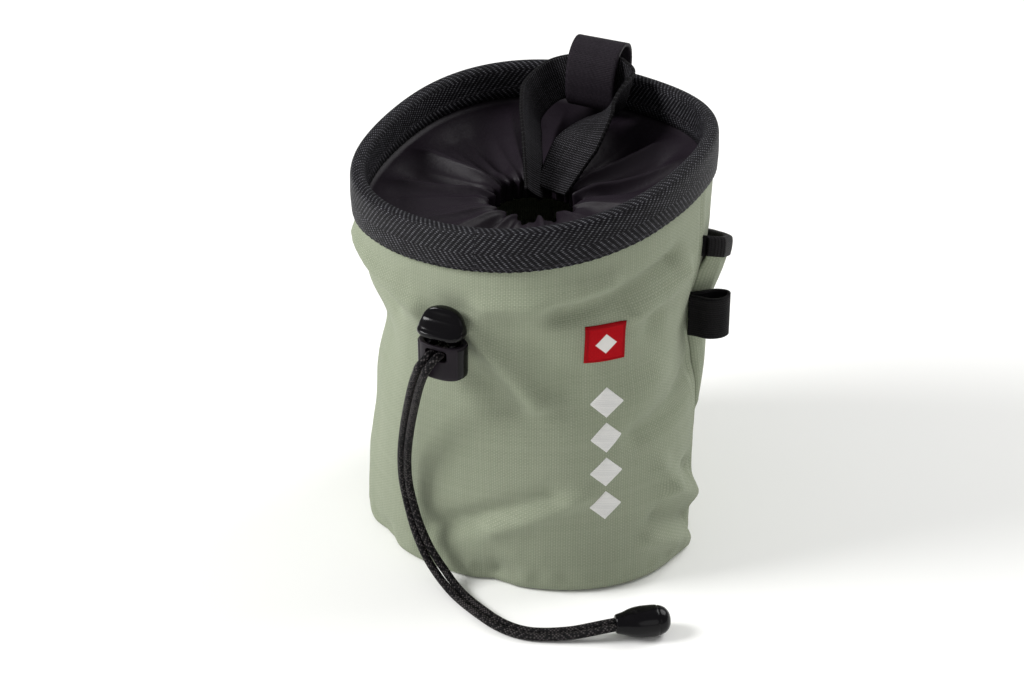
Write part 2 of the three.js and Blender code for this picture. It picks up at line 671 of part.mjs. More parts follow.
function brushLoop() {
  const azimuth = SEAM_AZIMUTH * RADIANS;
  const foot = BAG_HEIGHT - BRUSH_LOOP_DROP;
  const seat = Math.max(...[0, 0.25, 0.5, 0.75, 1].map(
    (share) => facetRadius(azimuth, foot + share * BRUSH_LOOP_WIDTH)));
  const radial = around(azimuth, 1, 0);
  const tangent = new THREE.Vector3(Math.cos(azimuth), Math.sin(azimuth), 0);
  const reach = BRUSH_LOOP_REACH - GAP - BRUSH_LOOP_THICKNESS / 2;
  const lean = Math.tan(BRUSH_LOOP_LEAN * RADIANS);
  const points = BRUSH_LOOP_PATH.map((row) => new THREE.Vector2(
    row.across * (BRUSH_LOOP_OPENING + BRUSH_LOOP_THICKNESS) + row.out * reach * lean,
    seat + GAP + row.out * reach));
  const curve = new THREE.SplineCurve(points);
  const across = new THREE.Vector3(0, 0, 1);
  const steps = 16;
  const stations = [];
  for (let step = 0; step <= steps; step += 1) {
    const spot = curve.getPoint(step / steps);
    const heading = curve.getTangent(step / steps);
    const middle = tangent.clone().multiplyScalar(spot.x).addScaledVector(radial, spot.y);
    middle.z = foot + BRUSH_LOOP_WIDTH / 2;
    const along = tangent.clone().multiplyScalar(heading.x).addScaledVector(radial, heading.y);
    stations.push({ middle, along, across });
  }
  return band(stations, BRUSH_LOOP_WIDTH, BRUSH_LOOP_THICKNESS);
}
add('brush_loop', brushLoop(), BLACK_PLASTIC, 0.8);

// Back pocket: a cloth panel from seam to seam that stands off the wall at its mouth

// Inner face of the pocket
function pocketRadius(azimuth, height) {
  const mouth = pocketMouth(azimuth);
  const rise = (height - POCKET_FOOT) / (mouth - POCKET_FOOT);
  const belly = Math.sin(POCKET_SWELL * Math.pow(Math.max(rise, 0), 1.1));
  const tapeFoot = mouth - POCKET_TAPE_WIDTH;
  const room = THREE.MathUtils.smoothstep(height, tapeFoot - POCKET_TAPE_WIDTH, tapeFoot);
  const standOff = Math.max(POCKET_GAPE * pocketShare('gape', azimuth) * belly, (POCKET_TAPE + GAP) * room);
  return facetRadius(azimuth, height) + GAP + standOff;
}

function pocketAzimuths() {
  const columns = ROUND_COLUMNS / 2;
  const edge = POCKET_MOUTH[0].fromSeam;
  const azimuths = [];
  for (let column = 0; column <= columns; column += 1) {
    const turn = THREE.MathUtils.clamp(180 * column / columns, edge, 180 - edge);
    azimuths.push((SEAM_AZIMUTH + turn) * RADIANS);
  }
  return azimuths;
}

function pocketLoop(azimuth) {
  const outer = [];
  const inner = [];
  for (const height of wallHeights(azimuth).slice(LOW_ROWS, LOW_ROWS + POCKET_ROWS + 2)) {
    const radius = pocketRadius(azimuth, height);
    outer.push(around(azimuth, radius + POCKET_CLOTH, height));
    inner.push(around(azimuth, radius, height));
  }
  return [...outer, ...inner.reverse()];
}
add('back_pocket', sweep(pocketAzimuths().map(pocketLoop)), GREEN_CLOTH, 0.85);

// Tape folded over the pocket's mouth
function pocketTapeLoop(azimuth) {
  const mouth = pocketMouth(azimuth);
  const edge = mouth - POCKET_TAPE - GAP;
  const middle = (height) => pocketRadius(azimuth, Math.min(height, edge)) + POCKET_CLOTH / 2;
  const half = POCKET_CLOTH / 2 + GAP;
  const full = half + POCKET_TAPE;
  const outer = [
    [full, mouth - POCKET_TAPE_WIDTH], [full, edge], [full * 0.6, mouth], [-full * 0.6, mouth],
    [-full, edge], [-full, mouth - POCKET_TAPE_WIDTH],
  ];
  const inner = [
    [-half, mouth - POCKET_TAPE_WIDTH], [-half, edge], [-half * 0.5, edge + GAP], [half * 0.5, edge + GAP],
    [half, edge], [half, mouth - POCKET_TAPE_WIDTH],
  ];
  return [...outer, ...inner].map(([out, height]) => around(azimuth, middle(height) + out, height));
}
add('pocket_binding', sweep(pocketAzimuths().map(pocketTapeLoop)), BLACK_PLASTIC, 0.7);

// Woven patch on the front, following the facets of the wall behind it

function patch() {
  const halfAngle = PATCH_SIZE / 2 / facetRadius(PATCH_AZIMUTH * RADIANS, BAG_HEIGHT - PATCH_DROP);
  const left = PATCH_AZIMUTH * RADIANS - halfAngle;
  const right = PATCH_AZIMUTH * RADIANS + halfAngle;
  const low = BAG_HEIGHT - PATCH_DROP - PATCH_SIZE / 2;
  const high = low + PATCH_SIZE;
  const within = (values, start, end) => [start, ...values.filter((v) => v > start && v < end), end];
  const wallColumns = ringAzimuths(ROUND_COLUMNS).map((azimuth) => azimuth - FULL_TURN);
  const heights = within(wallHeights(left), low, high);
  const loops = within(wallColumns, left, right).map((azimuth) => {
    const outer = heights.map((height) => around(
      azimuth, facetRadius(azimuth, height) + PATCH_SEAT + PATCH_THICKNESS, height));
    const inner = heights.map((height) => around(azimuth, facetRadius(azimuth, height) + PATCH_SEAT, height));
    return [...outer, ...inner.reverse()];
  });
  return sweep(loops);
}
add('woven_patch', patch(), PATCH_RED, 0.8);

// Cord lock: an oval barrel with a blind bore and a cross slot, and a sprung button whose stem
// has a window for the cord

function turned(profile, sides) {
  const points = profile.map(([radius, height]) => new THREE.Vector2(radius, height));
  return new THREE.LatheGeometry(points, sides);
}

// An oval turned body, standing on its foot at the lock's place
function ovalBody(profile, width, depth, height) {
  const geometry = turned(profile, 20);
  geometry.rotateX(Math.PI / 2);
  geometry.scale(width / 2, depth / 2, 1);
  return toSolid(placeAround(geometry, lockAzimuth, lockRadius, height));
}

function lockBarrel() {
  const top = BARREL_HEIGHT;
  const body = ovalBody([[0, 0], [0.86, 0], [1, 1.2], [1, top - 0.5], [0.95, top], [0, top]],
    LOCK_WIDTH, LOCK_DEPTH, lockFoot);
  const boreDepth = top - BARREL_FLOOR;
  const bore = ovalBody([[0, 0], [1, 0], [1, boreDepth + 1], [0, boreDepth + 1]],
    STEM_WIDTH + 2 * STEM_CLEARANCE, STEM_DEPTH + 2 * STEM_CLEARANCE, lockFoot + BARREL_FLOOR);
  const slot = toSolid(radialBox(
    CORD_SLOT_WIDTH, 2 * LOCK_DEPTH, CORD_SLOT_HEIGHT, lockAzimuth, lockRadius, slotHeight));
  return toGeometry(body.subtract(bore).subtract(slot));
}
add('lock_barrel', lockBarrel(), BLACK_PLASTIC, 0.25);

function lockButton() {
  const rise = BUTTON_HEIGHT - BUTTON_BRIM;
  const cap = ovalBody([
    [0, 0], [0.94, 0], [1, 0.5], [1, BUTTON_BRIM], [0.94, BUTTON_BRIM + rise * 0.36],
    [0.78, BUTTON_BRIM + rise * 0.7], [0.45, BUTTON_BRIM + rise * 0.94], [0, BUTTON_HEIGHT],
  ], LOCK_WIDTH, LOCK_DEPTH, buttonFoot);
  const stemFoot = lockFoot + BARREL_FLOOR + BUTTON_TRAVEL + 2 * GAP;
  const stemHeight = buttonFoot + BUTTON_BRIM / 2 - stemFoot;
  const stem = ovalBody([[0, 0], [0.9, 0], [1, 0.5], [1, stemHeight], [0, stemHeight]],
    STEM_WIDTH, STEM_DEPTH, stemFoot);
  const window = toSolid(radialBox(
    CORD_SLOT_WIDTH, 2 * STEM_DEPTH, CORD_SLOT_HEIGHT + BUTTON_TRAVEL,
    lockAzimuth, lockRadius, slotHeight + BUTTON_TRAVEL / 2));
  return toGeometry(cap.add(stem.subtract(window)));
}
add('lock_button', lockButton(), BLACK_PLASTIC, 0.2);

// Drawcord strands, side by side along the route, and the bell that holds their ends

function strandPoints(side) {
  const curve = new THREE.CatmullRomCurve3(CORD_ROUTE.map(([x, y, z]) => new THREE.Vector3(x, y, z)));
  const points = [];
  for (let step = 0; step <= CORD_STEPS; step += 1) {
    const spot = curve.getPointAt(step / CORD_STEPS);
    const along = curve.getTangentAt(step / CORD_STEPS);
    const steep = along.z * along.z;
    const away = new THREE.Vector3(spot.x, spot.y, 0).normalize().multiplyScalar(steep);
    away.z = 1 - steep;
    const across = new THREE.Vector3().crossVectors(along, away).normalize();
    points.push(spot.addScaledVector(across, side * CORD_SPACING / 2));
  }
  return points;
}

function strand(side) {
  const section = new THREE.Shape();
  for (let k = 0; k < CORD_SIDES; k += 1) {
    const angle = FULL_TURN * (k + 0.5) / CORD_SIDES;
    const move = k === 0 ? 'moveTo' : 'lineTo';
    section[move](Math.cos(angle) * CORD_DIAMETER / 2, Math.sin(angle) * CORD_DIAMETER / 2);
  }
  const path = new THREE.CatmullRomCurve3(strandPoints(side));
  return new THREE.ExtrudeGeometry(section, { steps: CORD_STEPS, extrudePath: path });
}
add('cord_left', strand(1), BLACK_PLASTIC, 0.8);
add('cord_right', strand(-1), BLACK_PLASTIC, 0.8);

function cordEnd() {
  const radius = CORD_END_DIAMETER / 2;
  const neck = CORD_END_NECK / 2;
  const length = CORD_END_LENGTH;
  const bell = turned([
    [0, 0], [neck * 0.9, 0], [neck, length * 0.04], [neck * 1.08, length * 0.1],
    [radius * 0.86, length * 0.22], [radius * 0.97, length * 0.36], [radius, length * 0.6],
    [radius * 0.94, length * 0.78], [radius * 0.78, length * 0.89], [radius * 0.5, length * 0.96], [0, length],
  ], 14);
  bell.rotateZ(CORD_END_AZIMUTH * RADIANS + Math.PI);
  const heading = around(CORD_END_AZIMUTH * RADIANS, 2 * GAP, 0);
  const [x, y] = CORD_ROUTE[CORD_ROUTE.length - 1];
  return bell.translate(x + heading.x, y + heading.y, radius);
}
add('cord_end', cordEnd(), BLACK_PLASTIC, 0.2);

export default bag;
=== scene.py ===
# Looks of a climbing chalk bag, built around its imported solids.
# Shape functions and tables are in millimetres, and each finished mesh is scaled to metres.
# Azimuths are in degrees from the front (-Y), positive towards +X.

import math

import bmesh
import bpy
from mathutils import Matrix, Vector, noise


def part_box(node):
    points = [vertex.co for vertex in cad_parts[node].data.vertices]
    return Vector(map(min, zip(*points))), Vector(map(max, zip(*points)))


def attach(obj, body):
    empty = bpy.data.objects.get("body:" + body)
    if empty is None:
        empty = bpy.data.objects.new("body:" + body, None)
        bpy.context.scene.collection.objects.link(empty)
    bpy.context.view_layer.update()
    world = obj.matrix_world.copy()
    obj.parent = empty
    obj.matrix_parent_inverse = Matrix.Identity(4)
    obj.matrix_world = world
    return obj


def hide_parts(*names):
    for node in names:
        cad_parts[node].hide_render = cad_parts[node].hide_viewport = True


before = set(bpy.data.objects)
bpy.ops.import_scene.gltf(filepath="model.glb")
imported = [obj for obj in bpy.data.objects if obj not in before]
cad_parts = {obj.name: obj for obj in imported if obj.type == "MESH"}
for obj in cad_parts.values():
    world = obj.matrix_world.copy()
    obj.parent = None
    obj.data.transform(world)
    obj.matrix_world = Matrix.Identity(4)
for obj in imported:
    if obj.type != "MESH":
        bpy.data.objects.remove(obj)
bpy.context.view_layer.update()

MM = 0.001
SCENE = bpy.context.scene

# Body of the bag, as in the part's source
BAG_HEIGHT = 156
RIM_RADIUS = 66.1
BASE_RADIUS = 63.9
CLOTH = 1.5
HEM_ROUND = 3
SEAM_AZIMUTH = 86
GAP = 0.3
TAPE = 1.2
TAPE_CAVITY = 3.4
TAPE_OUTER_DROP = 15.5
TAPE_INNER_DROP = 14
WALL_TUCK = 3
SKIRT_CLOTH = 1
SKIRT_TUCK = 6
HOLE_RADIUS = 16
HOLE_DROP = 23
HOLE_HEM = 8
WEBBING_WIDTH = 20
LOOP_THICKNESS = 1.4
LOOP_AZIMUTH = 173.5
LOOP_RISE = 13
LOOP_SPAN = 19
LOOP_STEP = 0.01
STRAP_THICKNESS = 1.5
BRUSH_LOOP_WIDTH = 16.8
BRUSH_LOOP_THICKNESS = 1.2
BRUSH_LOOP_REACH = 14.4
BRUSH_LOOP_LEAN = 20
BRUSH_LOOP_OPENING = 5.2
BRUSH_LOOP_DROP = 68.6
POCKET_CLOTH = 1.1
POCKET_FOOT = 52
POCKET_DROP = 28
POCKET_GAPE = 7.4
POCKET_DIP = 20
POCKET_SWELL = 1.9
POCKET_TAPE = 0.8
POCKET_TAPE_WIDTH = 8.5
PATCH_SIZE = 15.6
PATCH_THICKNESS = 0.8
PATCH_AZIMUTH = 38.8
PATCH_DROP = 48.2
PATCH_SEAT = 0.5
CORD_DIAMETER = 3
CORD_SPACING = 3.3
BELL_RADIUS = 5.9
BELL_NECK = 3.8
BELL_LENGTH = 19.5
BELL_HEADING = 117.1
LOCK_WIDTH = 18
LOCK_DEPTH = 12
BARREL_HEIGHT = 14
BUTTON_HEIGHT = 9.6
BUTTON_TRAVEL = 2.6
BARREL_FLOOR = 5
STEM_DEPTH = 5.4
CHEEK_MARGIN = 1.4
CHEEK_RELIEF = 0.45
CORD_SLOT_WIDTH = 8.4
CORD_SLOT_HEIGHT = 4.4
CORD_SLOT_RISE = 10.6

# Plan outlines and tilt of the mouth: wave, cosine share, sine share
RIM_PLAN = [(1, -0.0046, -0.0082), (2, 0.0283, 0.0315), (3, -0.0051, -0.0097), (4, -0.0078, 0.0257)]
BASE_PLAN = [(1, 0.044, -0.007), (2, 0.022, 0.064), (3, -0.064, -0.020)]
RIM_TILT = [(1, -0.0322, 0.1086), (2, -0.0157, 0.0194)]

# Folds of the wall: from azimuth, low share, to azimuth, high share, width share, depth share
WALL_FOLDS = [
    (-112, 0.56, -54, 0.56, 0.30, -0.155),
    (-108, 0.34, -60, 0.34, 0.31, -0.07),
    (-30, 0.62, 25, 0.60, 0.3, -0.03),
    (84, 0.60, 118, 0.58, 0.27, -0.08),
    (-60, 0.80, -24, 0.73, 0.09, 0.03),
    (-60, 0.75, -38, 0.69, 0.1, -0.028),
    (-2, 0.72, 18, 0.54, 0.07, 0.034),
    (-2, 0.60, 8, 0.52, 0.11, -0.024),
    (10, 0.74, 20, 0.67, 0.11, -0.022),
    (25, 0.776, 66, 0.827, 0.075, -0.04),
    (3, 0.782, 40, 0.846, 0.07, 0.02),
    (49, 0.75, 74, 0.776, 0.06, 0.028),
    (56, 0.69, 57, 0.71, 0.08, -0.022),
    (27, 0.57, 29, 0.60, 0.11, -0.018),
    (51, 0.417, 82, 0.474, 0.085, -0.034),
    (50, 0.53, 58, 0.55, 0.11, 0.02),
    (59, 0.308, 64, 0.24, 0.07, 0.026),
    (64, 0.24, 87, 0.11, 0.07, 0.03),
    (74, 0.23, 80, 0.20, 0.08, -0.03),
    (54, 0.12, 76, 0.03, 0.06, 0.026),
    (58, 0.17, 80, 0.06, 0.06, -0.028),
    (-20, 0.12, 22, 0.27, 0.08, -0.026),
    (4, 0.17, 32, 0.28, 0.07, 0.024),
    (3, 0.03, 6, 0.04, 0.08, -0.022),
    (-46, 0.02, -42, 0.02, 0.09, -0.022),
    (196, 0.17, 222, 0.22, 0.12, -0.03),
    (150, 0.10, 176, 0.20, 0.08, 0.022),
]

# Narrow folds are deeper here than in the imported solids
NARROW_FOLD = 0.13
FOLD_EMPHASIS = 1.8

# Middle line of the hanging loop: across share, up share
LOOP_PATH = [
    (0, 0), (0.03, 0.4), (0.18, 0.82), (0.48, 1), (0.8, 0.78), (0.97, 0.25), (0.99, -0.3),
    (0.94, -0.68), (0.78, -0.93), (0.6, -0.95),
]

# Middle line of the pull strap: azimuth, out share, rise share, turn in degrees, width share
STRAP_PATH = [
    (207, 0.08, 0.00, 60, 0.6), (202, 0.31, 0.43, 60, 0.7), (201, 0.59, 0.61, 62, 0.8),
    (199, 0.82, 0.70, 68, 0.82), (191, 0.98, 0.84, 78, 0.82), (182, 1.00, 0.96, 86, 0.82),
    (174, 1.00, 1.02, 90, 0.84), (167, 1.00, 1.05, 90, 0.84), (161.5, 0.98, 1.03, 86, 0.84),
    (156.5, 0.92, 0.96, 74, 0.9), (159, 0.69, 0.74, 34, 1.05), (160, 0.44, 0.47, 4, 1),
    (160, 0.17, 0.00, 0, 0.7),
]

# Middle line of the brush loop: across share, out share
BRUSH_LOOP_PATH = [
    (-0.15, 0), (-0.3, 0.22), (-0.62, 0.62), (-0.42, 0.92), (0, 1),
    (0.42, 0.92), (0.62, 0.62), (0.3, 0.22), (0.15, 0),
]

# Mouth of the back pocket: degrees from a seam, gape share, dip share
POCKET_MOUTH = [
    (2.6, 0, 0), (7, 0.75, 0.12), (14, 1, 0.3), (23, 0.5, 0.52), (35, 0.15, 0.8), (50, 0.1, 0.95),
    (90, 0.3, 1),
]

# Route of the cord pair's middle, the same points as in the part's source
CORD_ROUTE = [
    (-9.3, -60.3, 105.8), (-10.4, -67.5, 105.8), (-11.6, -74.8, 105.8), (-12.5, -79.9, 106.2),
    (-14.2, -82.9, 104.6), (-16.2, -82.0, 100.4), (-19.1, -79.0, 93.4), (-23.3, -74.0, 80.0),
    (-27.0, -69.2, 66.0), (-29.6, -65.4, 52.2), (-29.9, -63.9, 40.2), (-28.1, -64.0, 30.2),
    (-24.8, -65.8, 21.0), (-19.6, -68.6, 12.6), (-13.8, -70.9, 6.2), (-7.2, -75.0, 2.6),
    (-0.4, -79.6, 1.6), (5.7, -83.6, 1.6), (11.6, -87.2, 1.6), (17.1, -89.6, 1.6),
    (22.1, -90.8, 1.6), (28.0, -90.8, 1.6), (35.4, -89.1, 1.9), (43.8, -86.5, 2.9),
    (51.4, -83.6, 4.6), (57.6, -80.9, 5.7),
]
CORD_STEPS = 40
CORD_SIDES = 14

# Camera at the photograph's viewing angle

CAMERA_AZIMUTH = 18
CAMERA_ELEVATION = 30.5
CAMERA_DISTANCE = 1.0
CAMERA_TARGET = Vector((-0.00808, -0.00263, 0.070))
CAMERA_LENS = 91.4


def place_camera():
    camera = bpy.data.objects.new("camera", bpy.data.cameras.new("camera"))
    SCENE.collection.objects.link(camera)
    azimuth, elevation = math.radians(CAMERA_AZIMUTH), math.radians(CAMERA_ELEVATION)
    back = Vector((math.sin(azimuth) * math.cos(elevation), -math.cos(azimuth) * math.cos(elevation),
                   math.sin(elevation)))
    camera.location = CAMERA_TARGET + back * CAMERA_DISTANCE
    camera.rotation_mode = "QUATERNION"
    camera.rotation_quaternion = (-back).to_track_quat("-Z", "Y")
    camera.data.lens = CAMERA_LENS
    camera.data.clip_start = 0.01
    camera.data.clip_end = 20
    SCENE.camera = camera


place_camera()


# Small helpers for numbers and paths

def clamp(value, low=0.0, high=1.0):
    return max(low, min(high, value))


def smoothstep(value, low, high):
    share = clamp((value - low) / (high - low))
    return share * share * (3 - 2 * share)


def lerp(start, end, share):
    return start + (end - start) * share


def waves(table, azimuth):
    return sum(c * math.cos(n * azimuth) + s * math.sin(n * azimuth) for n, c, s in table)


def around(azimuth, radius, height):
    return Vector((radius * math.sin(azimuth), -radius * math.cos(azimuth), height))


def spline(points, per_span):
    """Smooth line through points, with per_span steps between two of them."""
    line = []
    for i in range(len(points) - 1):
        p1, p2 = points[i], points[i + 1]
        p0 = points[i - 1] if i else p1 * 2 - p2
        p3 = points[i + 2] if i + 2 < len(points) else p2 * 2 - p1
        d0, d1, d2 = (max((b - a).length, 1e-6) ** 0.5 for a, b in ((p0, p1), (p1, p2), (p2, p3)))
        m1 = ((p1 - p0) / d0 - (p2 - p0) / (d0 + d1) + (p2 - p1) / d1) * d1
        m2 = ((p2 - p1) / d1 - (p3 - p1) / (d1 + d2) + (p3 - p2) / d2) * d1
        for step in range(per_span):
            t = step / per_span
            line.append(p1 + m1 * t + (p2 * 3 - p1 * 3 - m1 * 2 - m2) * t ** 2
                        + (p1 * 2 - p2 * 2 + m1 + m2) * t ** 3)
    line.append(points[-1].copy())
    return line


def run_lengths(line):
    lengths = [0.0]
    for a, b in zip(line, line[1:]):
        lengths.append(lengths[-1] + (b - a).length)
    return lengths


def resample(line, count):
    """The line again, with count equal steps along it."""
    lengths = run_lengths(line)
    made, k = [], 0
    for step in range(count + 1):
        wanted = lengths[-1] * step / count
        while k < len(line) - 2 and lengths[k + 1] < wanted:
            k += 1
        share = (wanted - lengths[k]) / max(lengths[k + 1] - lengths[k], 1e-9)
        made.append(line[k].lerp(line[k + 1], clamp(share)))
    return made


def tangent(line, k):
    return (line[min(k + 1, len(line) - 1)] - line[max(k - 1, 0)]).normalized()


def at(table, position):
    """A row of a table between two of its rows, position counted in rows."""
    k = min(int(position), len(table) - 2)
    return [lerp(a, b, position - k) for a, b in zip(table[k], table[k + 1])]


# Small helpers for pieces

def finish_piece(name, mesh, material, body="bag", replaces=()):
    """Turns a bmesh in millimetres into a smooth object in metres that rides on a body."""
    bmesh.ops.scale(mesh, vec=(MM, MM, MM), verts=mesh.verts)
    for face in mesh.faces:
        face.smooth = True
    data = bpy.data.meshes.new(name)
    mesh.to_mesh(data)
    mesh.free()
    piece = bpy.data.objects.new(name, data)
    SCENE.collection.objects.link(piece)
    data.materials.append(material)
    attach(piece, body)
    if replaces:
        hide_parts(*replaces)
    return piece


def grid_mesh(columns, rows, place, pattern, closed=False):
    """A sheet from a grid: place(u, v) says where a point goes, and pattern(u, v) gives the UV map."""
    mesh = bmesh.new()
    bmesh.ops.create_grid(mesh, x_segments=columns, y_segments=rows, size=0.5)
    uv = mesh.loops.layers.uv.new("cloth")
    for face in mesh.faces:
        for loop in face.loops:
            loop[uv].uv = pattern(loop.vert.co.x + 0.5, loop.vert.co.y + 0.5)
    for vert in mesh.verts:
        vert.co = place(clamp(vert.co.x + 0.5), clamp(vert.co.y + 0.5))
    if closed:
        bmesh.ops.remove_doubles(mesh, verts=mesh.verts, dist=1e-4)
    return mesh


def thicken(piece, thickness, offset=-1.0):
    solidify = piece.modifiers.new("thickness", "SOLIDIFY")
    solidify.thickness = thickness * MM
    solidify.offset = offset
    return piece


def band_mesh(middles, acrosses, widths, width_steps, cup=0.0):
    """A flat band along a line, with its own width coordinates as the UV map."""
    lengths = run_lengths(middles)
    count = len(middles) - 1

    def spot(u, v):
        k = round(v * count)
        along = tangent(middles, k)
        side = (u - 0.5) * widths[k]
        normal = acrosses[k].cross(along).normalized()
        return middles[k] + acrosses[k] * side + normal * cup * (4 * (u - 0.5) ** 2)

    def pattern(u, v):
        k = round(v * count)
        return ((u - 0.5) * max(widths), lengths[k])

    return grid_mesh(width_steps, count, spot, pattern)


def tube_mesh(line, radius, sides):
    """A round tube along a line. Its UV map holds the way round and the way along, in millimetres."""
    lengths = run_lengths(line)
    count = len(line) - 1
    normals = [Vector((0, 0, 1)).cross(tangent(line, 0)).normalized()]
    for k in range(1, count + 1):
        heading = tangent(line, k)
        turned = normals[-1] - heading * normals[-1].dot(heading)
        normals.append(turned.normalized())

    def spot(u, v):
        k = round(v * count)
        heading = tangent(line, k)
        other = heading.cross(normals[k])
        turn = math.tau * u
        return line[k] + (normals[k] * math.cos(turn) + other * math.sin(turn)) * radius

    def pattern(u, v):
        return (u * math.tau * radius, lengths[round(v * count)])

    mesh = grid_mesh(sides, count, spot, pattern, closed=True)
    ends = [edge for edge in mesh.edges if edge.is_boundary]
    bmesh.ops.holes_fill(mesh, edges=ends, sides=sides)
    bmesh.ops.recalc_face_normals(mesh, faces=mesh.faces)
    return mesh


def turned_mesh(profile, steps):
    """A body of revolution about Z from radius and height pairs."""
    mesh = bmesh.new()
    ring = [mesh.verts.new((radius, 0, height)) for radius, height in profile]
    edges = [mesh.edges.new(pair) for pair in zip(ring, ring[1:])]
    bmesh.ops.spin(mesh, geom=ring + edges, cent=(0, 0, 0), axis=(0, 0, 1), angle=math.tau,
                   steps=steps, use_merge=True)
    bmesh.ops.remove_doubles(mesh, verts=mesh.verts, dist=1e-4)
    bmesh.ops.recalc_face_normals(mesh, faces=mesh.faces)
    return mesh


def rounded(points, per_span=4):
    """Radius and height pairs, smoothed."""
    line = spline([Vector((radius, height, 0)) for radius, height in points], per_span)
    return [(max(spot.x, 0.0), spot.y) for spot in line]


# Materials: helpers

def linear(red, green, blue):
    """A colour given as 0 to 255 screen values, for a shader."""
    return tuple((c / 12.92 if c <= 0.04045 else ((c + 0.055) / 1.055) ** 2.4)
                 for c in (red / 255, green / 255, blue / 255)) + (1.0,)


def node(tree, kind, inputs=(), **settings):
    made = tree.nodes.new(kind)
    for name, value in settings.items():
        setattr(made, name, value)
    for name, value in dict(inputs).items():
        if isinstance(value, bpy.types.NodeSocket):
            tree.links.new(value, made.inputs[name])
        else:
            made.inputs[name].default_value = value
    return made


def calc(tree, operation, a, b=0.0, c=0.0):
    return node(tree, "ShaderNodeMath", {0: a, 1: b, 2: c}, operation=operation).outputs[0]


def blend_colour(tree, share, first, second, blend_type="MIX"):
    made = node(tree, "ShaderNodeMix", {"Factor": share}, data_type="RGBA", blend_type=blend_type)
    for socket, value in ((made.inputs[6], first), (made.inputs[7], second)):
        if isinstance(value, bpy.types.NodeSocket):
            tree.links.new(value, socket)
        else:
            socket.default_value = value
    return made.outputs[2]


def new_group(name, inputs, outputs):
    tree = bpy.data.node_groups.new(name, "ShaderNodeTree")
    for label, kind, value in inputs:
        socket = tree.interface.new_socket(name=label, in_out="INPUT", socket_type=kind)
        if value is not None:
            socket.default_value = value
    for label, kind in outputs:
        tree.interface.new_socket(name=label, in_out="OUTPUT", socket_type=kind)
    return tree, tree.nodes.new("NodeGroupInput"), tree.nodes.new("NodeGroupOutput")


def use_group(tree, group, inputs=()):
    made = tree.nodes.new("ShaderNodeGroup")
    made.node_tree = group
    for name, value in dict(inputs).items():
        if isinstance(value, bpy.types.NodeSocket):
            tree.links.new(value, made.inputs[name])
        else:
            made.inputs[name].default_value = value
    return made


def woven_threads_group():
    """Threads that pass over and under each other; a repeat of 2 is plain weave, 4 is twill."""
    tree, entry, leave = new_group("woven threads", [
        ("Place", "NodeSocketVector", None), ("Across per mm", "NodeSocketFloat", 1.0),
        ("Along per mm", "NodeSocketFloat", 1.0), ("Repeat", "NodeSocketFloat", 2.0),
    ], [("Height", "NodeSocketFloat"), ("Over", "NodeSocketFloat"), ("Shade", "NodeSocketFloat")])
    apart = node(tree, "ShaderNodeSeparateXYZ", {0: entry.outputs["Place"]})
    x = calc(tree, "MULTIPLY", apart.outputs[0], entry.outputs["Across per mm"])
    y = calc(tree, "MULTIPLY", apart.outputs[1], entry.outputs["Along per mm"])
    cell_x, cell_y = calc(tree, "FLOOR", x), calc(tree, "FLOOR", y)
    cells = calc(tree, "ADD", cell_x, cell_y)
    spot = calc(tree, "FLOORED_MODULO", cells, entry.outputs["Repeat"])
    half = calc(tree, "MULTIPLY", entry.outputs["Repeat"], 0.5)
    over = calc(tree, "LESS_THAN", spot, half)
    swell_x = calc(tree, "SINE", calc(tree, "MULTIPLY", calc(tree, "FRACT", x), math.pi))
    swell_y = calc(tree, "SINE", calc(tree, "MULTIPLY", calc(tree, "FRACT", y), math.pi))
    warp = calc(tree, "MULTIPLY", swell_x, calc(tree, "MULTIPLY_ADD", swell_y, 0.5, 0.5))
    weft = calc(tree, "MULTIPLY", swell_y, calc(tree, "MULTIPLY_ADD", swell_x, 0.5, 0.5))
    height = node(tree, "ShaderNodeMix", {"Factor": over, 2: weft, 3: warp}).outputs[0]
    warp_shade = node(tree, "ShaderNodeTexWhiteNoise", {"W": cell_x}, noise_dimensions="1D").outputs[0]
    weft_shade = node(tree, "ShaderNodeTexWhiteNoise", {"W": calc(tree, "ADD", cell_y, 0.37)},
                      noise_dimensions="1D").outputs[0]
    shade = node(tree, "ShaderNodeMix", {"Factor": over, 2: weft_shade, 3: warp_shade}).outputs[0]
    for label, value in (("Height", height), ("Over", over), ("Shade", shade)):
        tree.links.new(value, leave.inputs[label])
    return tree


